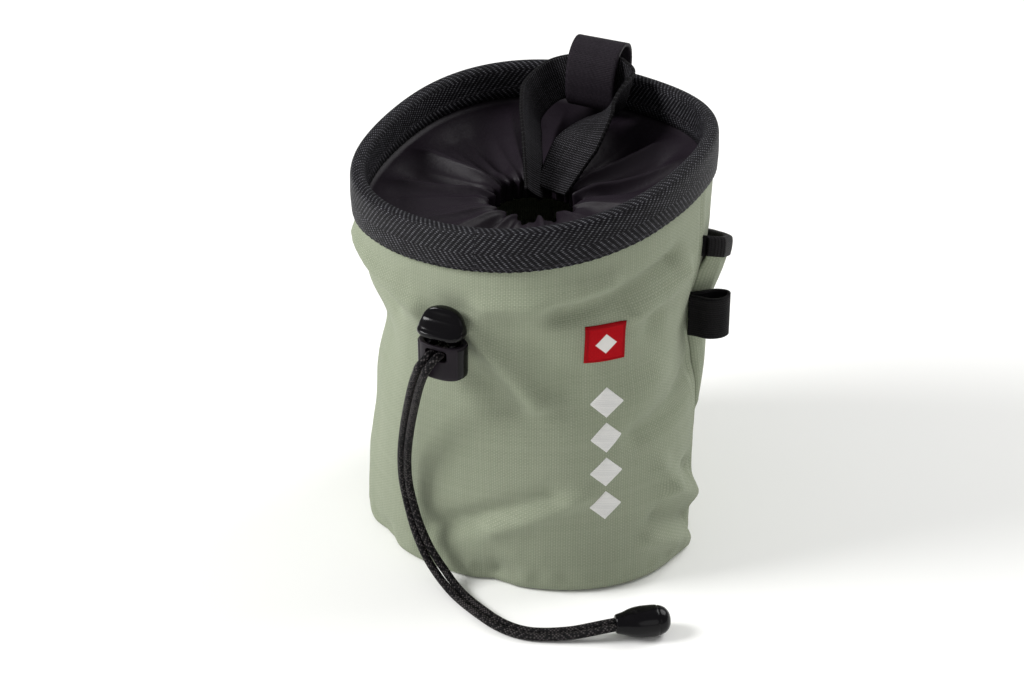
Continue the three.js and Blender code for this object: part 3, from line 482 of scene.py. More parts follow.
def herringbone_group():
    """Twill whose slant turns over from one column to the next, as dashes of thread, with a painted highlight
    on the raised dashes.
    """
    tree, entry, leave = new_group("herringbone threads", [
        ("Place", "NodeSocketVector", None), ("Along mm", "NodeSocketFloat", 0.52),
        ("Across mm", "NodeSocketFloat", 0.66), ("Column threads", "NodeSocketFloat", 11.0),
    ], [("Height", "NodeSocketFloat"), ("Painted highlight", "NodeSocketFloat"), ("Shade", "NodeSocketFloat")])
    apart = node(tree, "ShaderNodeSeparateXYZ", {0: entry.outputs["Place"]})
    x = calc(tree, "DIVIDE", apart.outputs[0], entry.outputs["Along mm"])
    y = calc(tree, "DIVIDE", apart.outputs[1], entry.outputs["Across mm"])
    cell_x, cell_y = calc(tree, "FLOOR", x), calc(tree, "FLOOR", y)
    column = calc(tree, "FLOOR", calc(tree, "DIVIDE", cell_y, entry.outputs["Column threads"]))
    turned_over = calc(tree, "FLOORED_MODULO", column, 2.0)
    slant = calc(tree, "MULTIPLY_ADD", turned_over, -2.0, 1.0)
    step = calc(tree, "MULTIPLY_ADD", cell_y, slant, cell_x)
    spot = calc(tree, "FLOORED_MODULO", step, 4.0)
    over = calc(tree, "LESS_THAN", spot, 2.0)
    run = calc(tree, "DIVIDE", calc(tree, "ADD", spot, calc(tree, "FRACT", x)), 2.0)
    swell_x = calc(tree, "SINE", calc(tree, "MULTIPLY", calc(tree, "FRACT", run), math.pi))
    swell_y = calc(tree, "SINE", calc(tree, "MULTIPLY", calc(tree, "FRACT", y), math.pi))
    dash = calc(tree, "MULTIPLY", swell_y, calc(tree, "MULTIPLY_ADD", swell_x, 0.6, 0.4))
    height = calc(tree, "MULTIPLY", dash, calc(tree, "MULTIPLY_ADD", over, 0.65, 0.35))
    dash_number = calc(tree, "FLOOR", calc(tree, "DIVIDE", step, 4.0))
    seed = node(tree, "ShaderNodeCombineXYZ", {0: dash_number, 1: cell_y})
    shade = node(tree, "ShaderNodeTexWhiteNoise", {"Vector": seed.outputs[0]},
                 noise_dimensions="2D").outputs[0]
    # Painted highlight: the raised over-dashes are brightest at their crowns, as light would glint on them.
    painted_highlight = calc(tree, "MULTIPLY", calc(tree, "POWER", calc(tree, "MULTIPLY", dash, over), 2.5),
                 calc(tree, "MULTIPLY_ADD", shade, 0.7, 0.3))
    for label, value in (("Height", height), ("Painted highlight", painted_highlight), ("Shade", shade)):
        tree.links.new(value, leave.inputs[label])
    return tree


def soft_variation_group():
    """Slow change of tone over a piece, from its own place."""
    tree, entry, leave = new_group("soft variation", [
        ("Size mm", "NodeSocketFloat", 30.0), ("Detail", "NodeSocketFloat", 3.0),
    ], [("Share", "NodeSocketFloat")])
    place = node(tree, "ShaderNodeTexCoord")
    scale = calc(tree, "DIVIDE", 1000.0, entry.outputs["Size mm"])
    cloud = node(tree, "ShaderNodeTexNoise", {"Vector": place.outputs["Object"], "Scale": scale,
                                              "Detail": entry.outputs["Detail"], "Roughness": 0.55})
    tree.links.new(cloud.outputs[0], leave.inputs["Share"])
    return tree


def stitch_row_group():
    """A row of lock stitches: a mask for the thread and its height, along X at a given Y."""
    tree, entry, leave = new_group("stitch row", [
        ("Place", "NodeSocketVector", None), ("Row mm", "NodeSocketFloat", 0.0),
        ("Stitch mm", "NodeSocketFloat", 3.0), ("Half width mm", "NodeSocketFloat", 0.35),
    ], [("Thread", "NodeSocketFloat"), ("Pull", "NodeSocketFloat")])
    apart = node(tree, "ShaderNodeSeparateXYZ", {0: entry.outputs["Place"]})
    off = calc(tree, "ABSOLUTE", calc(tree, "SUBTRACT", apart.outputs[1], entry.outputs["Row mm"]))
    along = calc(tree, "FRACT", calc(tree, "DIVIDE", apart.outputs[0], entry.outputs["Stitch mm"]))
    swell = calc(tree, "SINE", calc(tree, "MULTIPLY", along, math.pi))
    reach = calc(tree, "MULTIPLY", entry.outputs["Half width mm"],
                 calc(tree, "POWER", swell, 0.5))
    thread = node(tree, "ShaderNodeMapRange", {0: calc(tree, "SUBTRACT", reach, off), 1: 0.0, 2: 0.18,
                                               3: 0.0, 4: 1.0})
    pull = node(tree, "ShaderNodeMapRange", {0: off, 1: 0.0, 2: 1.6, 3: 1.0, 4: 0.0},
                interpolation_type="SMOOTHSTEP")
    tree.links.new(thread.outputs[0], leave.inputs["Thread"])
    tree.links.new(pull.outputs[0], leave.inputs["Pull"])
    return tree


WOVEN_THREADS = woven_threads_group()
HERRINGBONE = herringbone_group()
SOFT_VARIATION = soft_variation_group()
STITCH_ROW = stitch_row_group()


def new_material(name, **values):
    material = bpy.data.materials.new(name)
    material.use_nodes = True
    tree = material.node_tree
    shader = tree.nodes["Principled BSDF"]
    for label, value in values.items():
        shader.inputs[label.replace("_", " ")].default_value = value
    return material, tree, shader


def bump(tree, height, strength, distance_mm, under=None):
    inputs = {"Height": height, "Strength": strength, "Distance": distance_mm * MM}
    if under is not None:
        inputs["Normal"] = under
    return node(tree, "ShaderNodeBump", inputs).outputs[0]


def cloth_place(tree):
    return node(tree, "ShaderNodeUVMap", uv_map="cloth").outputs[0]


def green_ribbed_cloth():
    material, tree, shader = new_material("green ribbed cloth", Roughness=0.85, Sheen_Weight=0.08,
                                          Sheen_Roughness=0.5, Specular_IOR_Level=0.15)
    place = cloth_place(tree)
    weave = use_group(tree, WOVEN_THREADS, {"Place": place, "Across per mm": 1.15,
                                            "Along per mm": 1.7, "Repeat": 2.0})
    slow = use_group(tree, SOFT_VARIATION, {"Size mm": 55.0}).outputs[0]
    base = blend_colour(tree, slow, linear(138, 146, 124), linear(153, 158, 139))
    weft = calc(tree, "MULTIPLY", calc(tree, "SUBTRACT", 1.0, weave.outputs["Over"]), 0.3)
    darker = blend_colour(tree, weft, base, linear(114, 125, 100))
    shaded = blend_colour(tree, calc(tree, "MULTIPLY", weave.outputs["Shade"], 0.22), darker,
                          linear(169, 174, 155))
    # Painted shade: the colour darkens in the hollows between the threads, where they would lie in shade.
    painted_gap_shade_mask = calc(tree, "SUBTRACT", 1.0, weave.outputs["Height"])
    with_painted_gap_shade = blend_colour(tree, calc(tree, "MULTIPLY", calc(tree, "POWER", painted_gap_shade_mask, 2.0), 0.5), shaded,
                        linear(84, 92, 72))
    tree.links.new(with_painted_gap_shade, shader.inputs["Base Color"])
    rub = use_group(tree, SOFT_VARIATION, {"Size mm": 9.0, "Detail": 5.0}).outputs[0]
    soft = bump(tree, rub, 0.25, 0.5)
    tree.links.new(bump(tree, weave.outputs["Height"], 0.55, 0.22, soft), shader.inputs["Normal"])
    return material


def herringbone_tape(name, dark, light, painted_highlight_share, stitches=()):
    material, tree, shader = new_material(name, Roughness=0.55, Specular_IOR_Level=0.1)
    place = cloth_place(tree)
    weave = use_group(tree, HERRINGBONE, {"Place": place})
    toned = blend_colour(tree, calc(tree, "MULTIPLY", weave.outputs["Shade"], 0.5), dark, light)
    # Painted highlight: a pale grey is mixed onto the crowns of the raised dashes, where light would glint.
    with_painted_highlight = blend_colour(tree, calc(tree, "MULTIPLY", weave.outputs["Painted highlight"], painted_highlight_share), toned,
                           linear(196, 196, 204))
    normal = bump(tree, weave.outputs["Height"], 0.8, 0.3)
    for row in stitches:
        stitch = use_group(tree, STITCH_ROW, {"Place": place, "Row mm": row, "Stitch mm": 3.2,
                                              "Half width mm": 0.4})
        with_painted_highlight = blend_colour(tree, stitch.outputs["Thread"], with_painted_highlight, linear(40, 38, 42))
        normal = bump(tree, calc(tree, "SUBTRACT", stitch.outputs["Thread"],
                                 calc(tree, "MULTIPLY", stitch.outputs["Pull"], 0.7)), 0.6, 0.4, normal)
    tree.links.new(with_painted_highlight, shader.inputs["Base Color"])
    tree.links.new(normal, shader.inputs["Normal"])
    return material


def grid_webbing(name, across, along, repeat, dark, light, painted_highlight_share, depth):
    material, tree, shader = new_material(name, Roughness=0.55, Specular_IOR_Level=0.1)
    weave = use_group(tree, WOVEN_THREADS, {"Place": cloth_place(tree), "Across per mm": across,
                                            "Along per mm": along, "Repeat": repeat})
    # Painted highlight: the crowns of the raised threads are brightened towards a pale grey, as light would
    # glint on them.
    bright = calc(tree, "MULTIPLY", calc(tree, "POWER", weave.outputs["Height"], 6.0),
                  calc(tree, "MULTIPLY_ADD", weave.outputs["Shade"], 0.6, 0.4))
    toned = blend_colour(tree, calc(tree, "MULTIPLY", weave.outputs["Shade"], 0.4), dark, light)
    with_painted_highlight = blend_colour(tree, calc(tree, "MULTIPLY", bright, painted_highlight_share), toned,
                           linear(150, 148, 156))
    tree.links.new(with_painted_highlight, shader.inputs["Base Color"])
    tree.links.new(bump(tree, weave.outputs["Height"], 0.8, depth), shader.inputs["Normal"])
    return material


def thin_black_cloth():
    material, tree, shader = new_material("thin black cloth", Roughness=0.46, Sheen_Weight=0.03,
                                          Sheen_Roughness=0.35, Specular_IOR_Level=0.13)
    shader.inputs["Sheen Tint"].default_value = linear(150, 135, 160)
    weave = use_group(tree, WOVEN_THREADS, {"Place": cloth_place(tree), "Across per mm": 2.6,
                                            "Along per mm": 2.6, "Repeat": 2.0})
    slow = use_group(tree, SOFT_VARIATION, {"Size mm": 25.0}).outputs[0]
    base = blend_colour(tree, slow, linear(21, 16, 22), linear(35, 29, 36))
    tree.links.new(base, shader.inputs["Base Color"])
    crumple = node(tree, "ShaderNodeTexNoise",
                   {"Vector": node(tree, "ShaderNodeTexCoord").outputs["Object"], "Scale": 110.0,
                    "Detail": 4.0, "Roughness": 0.5, "Distortion": 0.6}).outputs[0]
    soft = bump(tree, crumple, 0.35, 1.2)
    tree.links.new(bump(tree, weave.outputs["Height"], 0.2, 0.1, soft), shader.inputs["Normal"])
    return material


def braided_cord():
    material, tree, shader = new_material("braided cord", Roughness=0.5, Specular_IOR_Level=0.12)
    turn = node(tree, "ShaderNodeMapping", {"Vector": cloth_place(tree),
                                            "Rotation": (0, 0, math.radians(45))})
    weave = use_group(tree, WOVEN_THREADS, {"Place": turn.outputs[0], "Across per mm": 1.06,
                                            "Along per mm": 1.06, "Repeat": 2.0})
    # Grey threads picked at random are the cord's own colour; their brightness peaking on each thread's crown
    # is painted highlight.
    bright = calc(tree, "MULTIPLY", calc(tree, "POWER", weave.outputs["Height"], 3.0),
                  calc(tree, "GREATER_THAN", weave.outputs["Shade"], 0.45))
    base = blend_colour(tree, calc(tree, "MULTIPLY", bright, 0.6), linear(5, 4, 6),
                        linear(104, 98, 98))
    tree.links.new(base, shader.inputs["Base Color"])
    tree.links.new(bump(tree, weave.outputs["Height"], 0.9, 0.25), shader.inputs["Normal"])
    return material


def moulded_plastic(name, colour, roughness):
    material, tree, shader = new_material(name, Specular_IOR_Level=0.16)
    speckle = use_group(tree, SOFT_VARIATION, {"Size mm": 1.2, "Detail": 4.0}).outputs[0]
    slow = use_group(tree, SOFT_VARIATION, {"Size mm": 12.0}).outputs[0]
    tone = blend_colour(tree, slow, colour, tuple(c * 1.5 for c in colour[:3]) + (1.0,))
    tree.links.new(tone, shader.inputs["Base Color"])
    rough = node(tree, "ShaderNodeMapRange", {0: slow, 1: 0.3, 2: 0.7, 3: roughness * 0.8,
                                              4: roughness * 1.25})
    tree.links.new(rough.outputs[0], shader.inputs["Roughness"])
    tree.links.new(bump(tree, speckle, 0.12, 0.06), shader.inputs["Normal"])
    return material


def woven_patch_cloth():
    material, tree, shader = new_material("red woven patch", Roughness=0.8, Specular_IOR_Level=0.1)
    place = cloth_place(tree)
    weave = use_group(tree, WOVEN_THREADS, {"Place": place, "Across per mm": 3.2,
                                            "Along per mm": 2.2, "Repeat": 4.0})
    base = blend_colour(tree, calc(tree, "MULTIPLY", weave.outputs["Shade"], 0.4),
                        linear(178, 4, 18), linear(202, 14, 28))
    # Painted shade: the red darkens in the hollows between the threads, where they would lie in shade.
    painted_gap_shade_mask = calc(tree, "POWER", calc(tree, "SUBTRACT", 1.0, weave.outputs["Height"]), 2.0)
    with_painted_gap_shade = blend_colour(tree, calc(tree, "MULTIPLY", painted_gap_shade_mask, 0.5), base, linear(104, 2, 10))
    apart = node(tree, "ShaderNodeSeparateXYZ", {0: place})
    half = PATCH_SIZE / 2
    edge = calc(tree, "MAXIMUM", calc(tree, "ABSOLUTE", apart.outputs[0]),
                calc(tree, "ABSOLUTE", apart.outputs[1]))
    rim = node(tree, "ShaderNodeMapRange", {0: edge, 1: half - 1.5, 2: half - 1.1, 3: 0.0, 4: 1.0})
    bordered = blend_colour(tree, calc(tree, "MULTIPLY", rim.outputs[0], 0.55), with_painted_gap_shade,
                            linear(126, 2, 12))
    reach = calc(tree, "ADD", calc(tree, "ABSOLUTE", apart.outputs[0]),
                 calc(tree, "ABSOLUTE", apart.outputs[1]))
    diamond = node(tree, "ShaderNodeMapRange", {0: reach, 1: 3.9, 2: 4.2, 3: 1.0, 4: 0.0})
    marked = blend_colour(tree, diamond.outputs[0], bordered, linear(232, 230, 226))
    tree.links.new(marked, shader.inputs["Base Color"])
    raised = calc(tree, "ADD", weave.outputs["Height"],
                  calc(tree, "MULTIPLY", calc(tree, "ADD", rim.outputs[0], diamond.outputs[0]), 1.4))
    tree.links.new(bump(tree, raised, 0.7, 0.2), shader.inputs["Normal"])
    return material


def satin_stitch():
    material, tree, shader = new_material("white satin stitch", Roughness=0.45, Sheen_Weight=0.3,
                                          Specular_IOR_Level=0.45)
    apart = node(tree, "ShaderNodeSeparateXYZ", {0: cloth_place(tree)})
    lean = calc(tree, "MULTIPLY_ADD", apart.outputs[0], 0.18, apart.outputs[1])
    threads = calc(tree, "MULTIPLY", lean, 2.6)
    ridge = calc(tree, "SINE", calc(tree, "MULTIPLY", calc(tree, "FRACT", threads), math.pi))
    shade = node(tree, "ShaderNodeTexWhiteNoise", {"W": calc(tree, "FLOOR", threads)},
                 noise_dimensions="1D").outputs[0]
    base = blend_colour(tree, calc(tree, "MULTIPLY", shade, 0.6), linear(246, 245, 242),
                        linear(224, 224, 222))
    # Painted shade: the white darkens in the grooves between the satin threads, where they would lie in
    # shade.
    with_painted_gap_shade = blend_colour(tree, calc(tree, "POWER", calc(tree, "SUBTRACT", 1.0, ridge), 3.0), base,
                        linear(150, 150, 148))
    tree.links.new(with_painted_gap_shade, shader.inputs["Base Color"])
    tree.links.new(bump(tree, ridge, 0.8, 0.2), shader.inputs["Normal"])
    return material


GREEN_CLOTH = green_ribbed_cloth()
RIM_TAPE = herringbone_tape("dark herringbone tape", linear(9, 8, 11), linear(20, 19, 25), 0.3,
                            (28.4, 1.4))
THIN_CLOTH = thin_black_cloth()
STRAP_WEBBING = grid_webbing("coarse strap webbing", 1.25, 1.1, 2.0, linear(3, 2, 3),
                             linear(8, 6, 9), 0.5, 0.3)
LOOP_WEBBING = grid_webbing("fine loop webbing", 1.9, 1.5, 4.0, linear(28, 23, 29),
                            linear(38, 32, 39), 0.08, 0.18)
ELASTIC = grid_webbing("black elastic", 1.1, 2.2, 2.0, linear(3, 2, 3), linear(8, 5, 7), 0.06, 0.2)
CORD_BRAID = braided_cord()
GLOSS_PLASTIC = moulded_plastic("gloss black plastic", linear(5, 4, 6), 0.16)
SATIN_PLASTIC = moulded_plastic("satin black plastic", linear(21, 16, 22), 0.45)
PATCH_CLOTH = woven_patch_cloth()
SATIN_STITCH = satin_stitch()


# Cords first: two strands through the lock to the bell

def strand_line(side):
    route = spline([Vector(point) for point in CORD_ROUTE], 12)
    middle = resample(route, CORD_STEPS)
    points = []
    for k, spot in enumerate(middle):
        along = tangent(middle, k)
        steep = along.z * along.z
        away = Vector((spot.x, spot.y, 0)).normalized() * steep
        away.z = 1 - steep
        points.append(spot + along.cross(away).normalized() * side * CORD_SPACING / 2)
    return spline(points, 8)


def cord_length(line):
    return round(run_lengths(line)[-1] * MM, 4)


def add_strand(name, side, node_name):
    line = strand_line(side)
    mesh = tube_mesh(line, CORD_DIAMETER / 2, CORD_SIDES)
    strand = finish_piece(name, mesh, CORD_BRAID, replaces=(node_name,))
    return strand, line


strand_left, line_left = add_strand("cord_strand_left", 1, "cord_left")
strand_right, line_right = add_strand("cord_strand_right", -1, "cord_right")


def add_bell():
    """The bell: a turned plastic end that the two strands run into, lying on the ground."""
    radius, neck, length = BELL_RADIUS, BELL_NECK, BELL_LENGTH
    profile = rounded([(0, -1.1), (neck * 0.7, -1.2), (neck * 0.9, -0.9), (neck, 0.3),
                       (neck * 1.12, length * 0.1), (radius * 0.87, length * 0.22),
                       (radius * 0.97, length * 0.36), (radius, length * 0.6),
                       (radius * 0.965, length * 0.74), (radius * 0.925, length * 0.755),
                       (radius * 0.94, length * 0.775), (radius * 0.79, length * 0.89),
                       (radius * 0.5, length * 0.965), (radius * 0.2, length * 0.995), (0, length)], 5)
    mesh = turned_mesh(profile, 48)
    heading = math.radians(BELL_HEADING)
    turn = Matrix.Rotation(heading - math.pi / 2, 4, "Z") @ Matrix.Rotation(math.pi / 2, 4, "Y")
    bmesh.ops.transform(mesh, matrix=turn, verts=mesh.verts)
    end = CORD_ROUTE[-1]
    start = Vector((end[0], end[1], radius)) + around(heading, 2 * GAP, 0)
    bmesh.ops.translate(mesh, vec=start, verts=mesh.verts)
    return finish_piece("cord_bell", mesh, GLOSS_PLASTIC, replaces=("cord_end",))


cord_bell = add_bell()
for strand, line in ((strand_left, line_left), (strand_right, line_right)):
    cord_length(line)
    [spot * MM for spot in line]


# Shape of the mouth and the wall

def rim_radius(azimuth):
    return RIM_RADIUS * (1 + waves(RIM_PLAN, azimuth))


def crest_height(azimuth):
    return BAG_HEIGHT + RIM_RADIUS * waves(RIM_TILT, azimuth)


def loose_top(azimuth):
    return crest_height(azimuth) - TAPE_OUTER_DROP - CLOTH


def fold_relief(azimuth, height):
    relief = 0.0
    for start, low, end, high, width, depth in WALL_FOLDS:
        first, last = math.radians(start), math.radians(end)
        near = azimuth - math.tau * round((azimuth - (first + last) / 2) / math.tau)
        along_x, along_z = (last - first) * BASE_RADIUS, (high - low) * BAG_HEIGHT
        here_x, here_z = (near - first) * BASE_RADIUS, height - low * BAG_HEIGHT
        share = clamp((here_x * along_x + here_z * along_z) / (along_x ** 2 + along_z ** 2))
        away = math.hypot(here_x - share * along_x, here_z - share * along_z) / (width * BASE_RADIUS)
        if away < 4:
            emphasis = FOLD_EMPHASIS if width < NARROW_FOLD else 1
            relief += emphasis * depth * BASE_RADIUS * math.exp(-away * away)
    top = loose_top(azimuth)
    return relief * (1 - smoothstep(height, top - TAPE_OUTER_DROP / 2, top))


def wall_radius(azimuth, height):
    base = BASE_RADIUS * (1 + waves(BASE_PLAN, azimuth))
    rim = rim_radius(azimuth) + TAPE_CAVITY / 2 - GAP
    share = smoothstep(height, 0, loose_top(azimuth))
    return lerp(base, rim, share) + fold_relief(azimuth, height)


def small_wrinkles(azimuth, height):
    """Fine unevenness of the cloth, puckers above the bottom seam and a groove at each side seam."""
    place = Vector((math.sin(azimuth) * 3.1, math.cos(azimuth) * 3.1, height * 0.045))
    uneven = 0.55 * noise.noise(place) + 0.22 * noise.noise(place * 2.7)
    foot = math.exp(-((height - 5) / 5) ** 2)
    pucker = 0.35 * foot * math.sin(46 * azimuth + 2 * math.sin(5 * azimuth))
    groove = 0.0
    for seam in (SEAM_AZIMUTH, SEAM_AZIMUTH + 180):
        turn = (math.degrees(azimuth) - seam + 180) % 360 - 180
        groove -= 0.9 * math.exp(-(turn / 0.9) ** 2)
        groove += 0.3 * math.exp(-((abs(turn) - 3) / 1.4) ** 2)
    calm = 1 - smoothstep(height, loose_top(azimuth) - 4, loose_top(azimuth))
    return (uneven + pucker + groove) * calm


# The wall: one shell from the turned-under hem to the tape

HEM_SHARE = 0.05
WALL_COLUMNS = 330
WALL_ROWS = 120


def wall_spot(u, v):
    azimuth = math.tau * u
    foot = wall_radius(azimuth, HEM_ROUND)
    if v < HEM_SHARE:
        swing = v / HEM_SHARE * math.pi / 2
        return around(azimuth, foot - HEM_ROUND + HEM_ROUND * math.sin(swing),
                      HEM_ROUND - HEM_ROUND * math.cos(swing))
    top = crest_height(azimuth) - WALL_TUCK
    height = lerp(HEM_ROUND, top, (v - HEM_SHARE) / (1 - HEM_SHARE))
    loose = min(height, loose_top(azimuth))
    rising = smoothstep(height, HEM_ROUND, HEM_ROUND + 3)
    return around(azimuth, wall_radius(azimuth, loose) + small_wrinkles(azimuth, loose) * rising, height)


def wall_pattern(u, v):
    return (u * math.tau * 65, v * 150)


wall = thicken(finish_piece(
    "bag_wall", grid_mesh(WALL_COLUMNS, WALL_ROWS, wall_spot, wall_pattern, closed=True),
    GREEN_CLOTH, replaces=("front_panel", "back_panel")), CLOTH)


# Base disc, with a shallow dish and its edge inside the hem

def base_spot(u, v):
    azimuth = math.tau * u
    edge = wall_radius(azimuth, HEM_ROUND) - HEM_ROUND - GAP
    share = 1 - v
    sag = 0.35 * math.sin(math.pi * share) ** 2
    return around(azimuth, edge * max(share, 0.004), CLOTH - sag)


base = thicken(finish_piece(
    "base_disc", grid_mesh(180, 24, base_spot, lambda u, v: (u * 400, v * 60), closed=True),
    GREEN_CLOTH, replaces=("base_panel",)), CLOTH - 0.4)


# Mouth binding: one tape folded over the crest

TAPE_FULL = TAPE_CAVITY / 2 + TAPE
TAPE_PROFILE = spline([Vector(point) for point in (
    (TAPE_FULL - 0.1, -TAPE_OUTER_DROP, 0), (TAPE_FULL + 0.2, -10, 0), (TAPE_FULL + 0.1, -5, 0),
    (TAPE_FULL - 0.05, -2.4, 0), (TAPE_FULL * 0.72, -0.6, 0), (0, 0, 0), (-TAPE_FULL * 0.72, -0.6, 0),
    (-TAPE_FULL + 0.05, -2.4, 0), (-TAPE_FULL - 0.1, -6, 0), (-TAPE_FULL, -TAPE_INNER_DROP, 0))], 3)
TAPE_LENGTHS = run_lengths(TAPE_PROFILE)


def binding_spot(u, v):
    azimuth = math.tau * u
    k = round(v * (len(TAPE_PROFILE) - 1))
    out, up = TAPE_PROFILE[k].x, TAPE_PROFILE[k].y
    place = Vector((math.sin(azimuth) * 4, math.cos(azimuth) * 4, 0))
    lean = 0.25 * noise.noise(place) * (-up / TAPE_OUTER_DROP)
    scallop = 0.16 * math.sin(azimuth * 128) * smoothstep(-up, 9, 15)
    return around(azimuth, rim_radius(azimuth) + out + lean, crest_height(azimuth) + up + scallop)


def binding_pattern(u, v):
    return (u * math.tau * 66, TAPE_LENGTHS[round(v * (len(TAPE_PROFILE) - 1))])


binding = thicken(finish_piece(
    "mouth_binding", grid_mesh(420, len(TAPE_PROFILE) - 1, binding_spot, binding_pattern, closed=True),
    RIM_TAPE, replaces=("rim_binding",)), TAPE)


# Closure skirt: hem in the hole, radial folds, and its edge inside the binding

HOLE_HEIGHT = BAG_HEIGHT - HOLE_DROP
SKIRT_FOLDS = 9
SKIRT_HEM_SHARE = 0.16
SKIRT_EDGE_SHARE = 0.9


def pleat(azimuth, share):
    """Ridges that fan out from the hole: sharp on top, wide between, uneven in spacing."""
    phase = 13 * azimuth + 1.6 * math.sin(2 * azimuth + 0.8) + 1.1 * math.sin(5 * azimuth + 2) + 0.9 * share
    main = 0.55 - abs(math.sin(phase / 2)) ** 0.9
    between = 27 * azimuth + 2.3 * math.sin(3 * azimuth) + 1.4 * share
    small = 0.55 - abs(math.sin(between / 2))
    uneven = 1 + 0.35 * math.sin(3 * azimuth + 1)
    return 5.4 * uneven * main * math.exp(-0.5 * share) + 2.0 * small * (1 - share) ** 1.2


def skirt_level(azimuth, share):
    edge = crest_height(azimuth) - TAPE_OUTER_DROP - SKIRT_CLOTH
    level = lerp(HOLE_HEIGHT, edge, share * share)
    swell = math.sin(math.pi * share ** 0.8)
    wide = math.sin(SKIRT_FOLDS * azimuth + 1.1 * math.sin(2 * azimuth + 0.6) + 0.4 * share)
    held = 0.3 + 0.7 * smoothstep(share, 0, 0.2)
    return level + 1.2 * swell * wide + pleat(azimuth, share) * held * (1 - smoothstep(share, 0.7, 1))


def skirt_spot(u, v):
    azimuth = -math.tau * u
    hole = HOLE_RADIUS + 0.9 - 0.55 * pleat(azimuth, 0) + 0.4 * math.sin(41 * azimuth + math.sin(4 * azimuth))
    inside = rim_radius(azimuth) - TAPE_CAVITY / 2 + GAP + SKIRT_CLOTH / 2
    end = inside - 2 * TAPE
    if v < SKIRT_HEM_SHARE:
        drop = HOLE_HEM * (1 - v / SKIRT_HEM_SHARE)
        return around(azimuth, hole + 0.1 * drop, skirt_level(azimuth, 0) - 1.6 - drop)
    if v > SKIRT_EDGE_SHARE:
        part = (v - SKIRT_EDGE_SHARE) / (1 - SKIRT_EDGE_SHARE)
        start = skirt_level(azimuth, 1)
        return around(azimuth, lerp(end, inside, smoothstep(part, 0, 0.4)),
                      lerp(start, crest_height(azimuth) - SKIRT_TUCK, part ** 1.5))
    share = (v - SKIRT_HEM_SHARE) / (SKIRT_EDGE_SHARE - SKIRT_HEM_SHARE)
    radius = lerp(hole + 1.1 * math.sqrt(clamp(share * 8)), end, share)
    return around(azimuth, radius, skirt_level(azimuth, share) - 1.6 * (1 - min(share * 9, 1)) ** 2)


skirt = thicken(finish_piece(
    "gathered_skirt", grid_mesh(560, 72, skirt_spot, lambda u, v: (u * 300, v * 62), closed=True),
    THIN_CLOTH, replaces=("closure_skirt",)), SKIRT_CLOTH * 0.6, 0.0)


# Hanging loop

def loop_stations():
    azimuth = math.radians(LOOP_AZIMUTH)
    crest = crest_height(azimuth)
    outer_leg = rim_radius(azimuth) + TAPE_CAVITY / 2 + TAPE + GAP + LOOP_THICKNESS / 2
    points = [Vector((outer_leg, crest - TAPE_OUTER_DROP + 2 * TAPE, 0))]
    points += [Vector((outer_leg - across * LOOP_SPAN, crest + up * LOOP_RISE, 0))
               for across, up in LOOP_PATH]
    sagitta = WEBBING_WIDTH ** 2 / (8 * rim_radius(azimuth))
    inside = rim_radius(azimuth) - TAPE_CAVITY / 2 - TAPE
    inner_leg = inside - sagitta - 2 * GAP - LOOP_THICKNESS / 2
    points.append(Vector((inner_leg, crest - TAPE_INNER_DROP + 2 * TAPE, 0)))
    line = resample(spline(points, 12), 90)
    aside = azimuth + LOOP_STEP
    along_rim = (around(aside, rim_radius(aside), 0) - around(azimuth, rim_radius(azimuth), 0)).normalized()
    square = Vector((math.cos(azimuth), math.sin(azimuth), 0))
    middles, acrosses = [], []
    for spot in line:
        inward = rim_radius(azimuth) - spot.x
        freed = max(smoothstep(spot.y, crest, crest + LOOP_RISE),
                    smoothstep(inward, LOOP_SPAN * 0.3, LOOP_SPAN * 0.7))
        middles.append(around(azimuth, spot.x, spot.y))
        acrosses.append(along_rim.lerp(square, freed).normalized())
    return middles, acrosses


loop_middles, loop_acrosses = loop_stations()
hanging_loop = thicken(finish_piece(
    "hanging_loop",
    band_mesh(loop_middles, loop_acrosses, [WEBBING_WIDTH] * len(loop_middles), 14),
    LOOP_WEBBING, replaces=("hang_loop",)), LOOP_THICKNESS, 0.0)


# Pull strap

def strap_stations():
    azimuth = math.radians(LOOP_AZIMUTH)
    outer_leg = rim_radius(azimuth) + TAPE_CAVITY / 2 + TAPE + GAP + LOOP_THICKNESS / 2
    inner_leg = outer_leg - LOOP_SPAN + LOOP_THICKNESS / 2
    inside = rim_radius(azimuth) - TAPE_CAVITY / 2 - TAPE
    crown = lerp(inner_leg, inside, 0.55)
    foot = HOLE_HEIGHT - 2
    top = crest_height(azimuth) + GAP
    points = [around(math.radians(row[0]), row[1] * crown, lerp(foot, top, row[2])) for row in STRAP_PATH]
    per_span = 14
    middles = spline(points, per_span)
    acrosses, widths = [], []
    for k in range(len(middles)):
        row = at(STRAP_PATH, k / per_span)
        along = tangent(middles, k)
        level = Vector((along.y, -along.x, 0)).normalized()
        acrosses.append(Matrix.Rotation(math.radians(row[3]), 3, along) @ level)
        widths.append(WEBBING_WIDTH * row[4])
    return middles, acrosses, widths


strap_middles, strap_acrosses, strap_widths = strap_stations()
pull_strap = thicken(finish_piece(
    "strap_webbing",
    band_mesh(strap_middles, strap_acrosses, strap_widths, 16, cup=0.5),
    STRAP_WEBBING, replaces=("pull_strap",)), STRAP_THICKNESS, 0.0)


# Brush loop of elastic on the right side seam

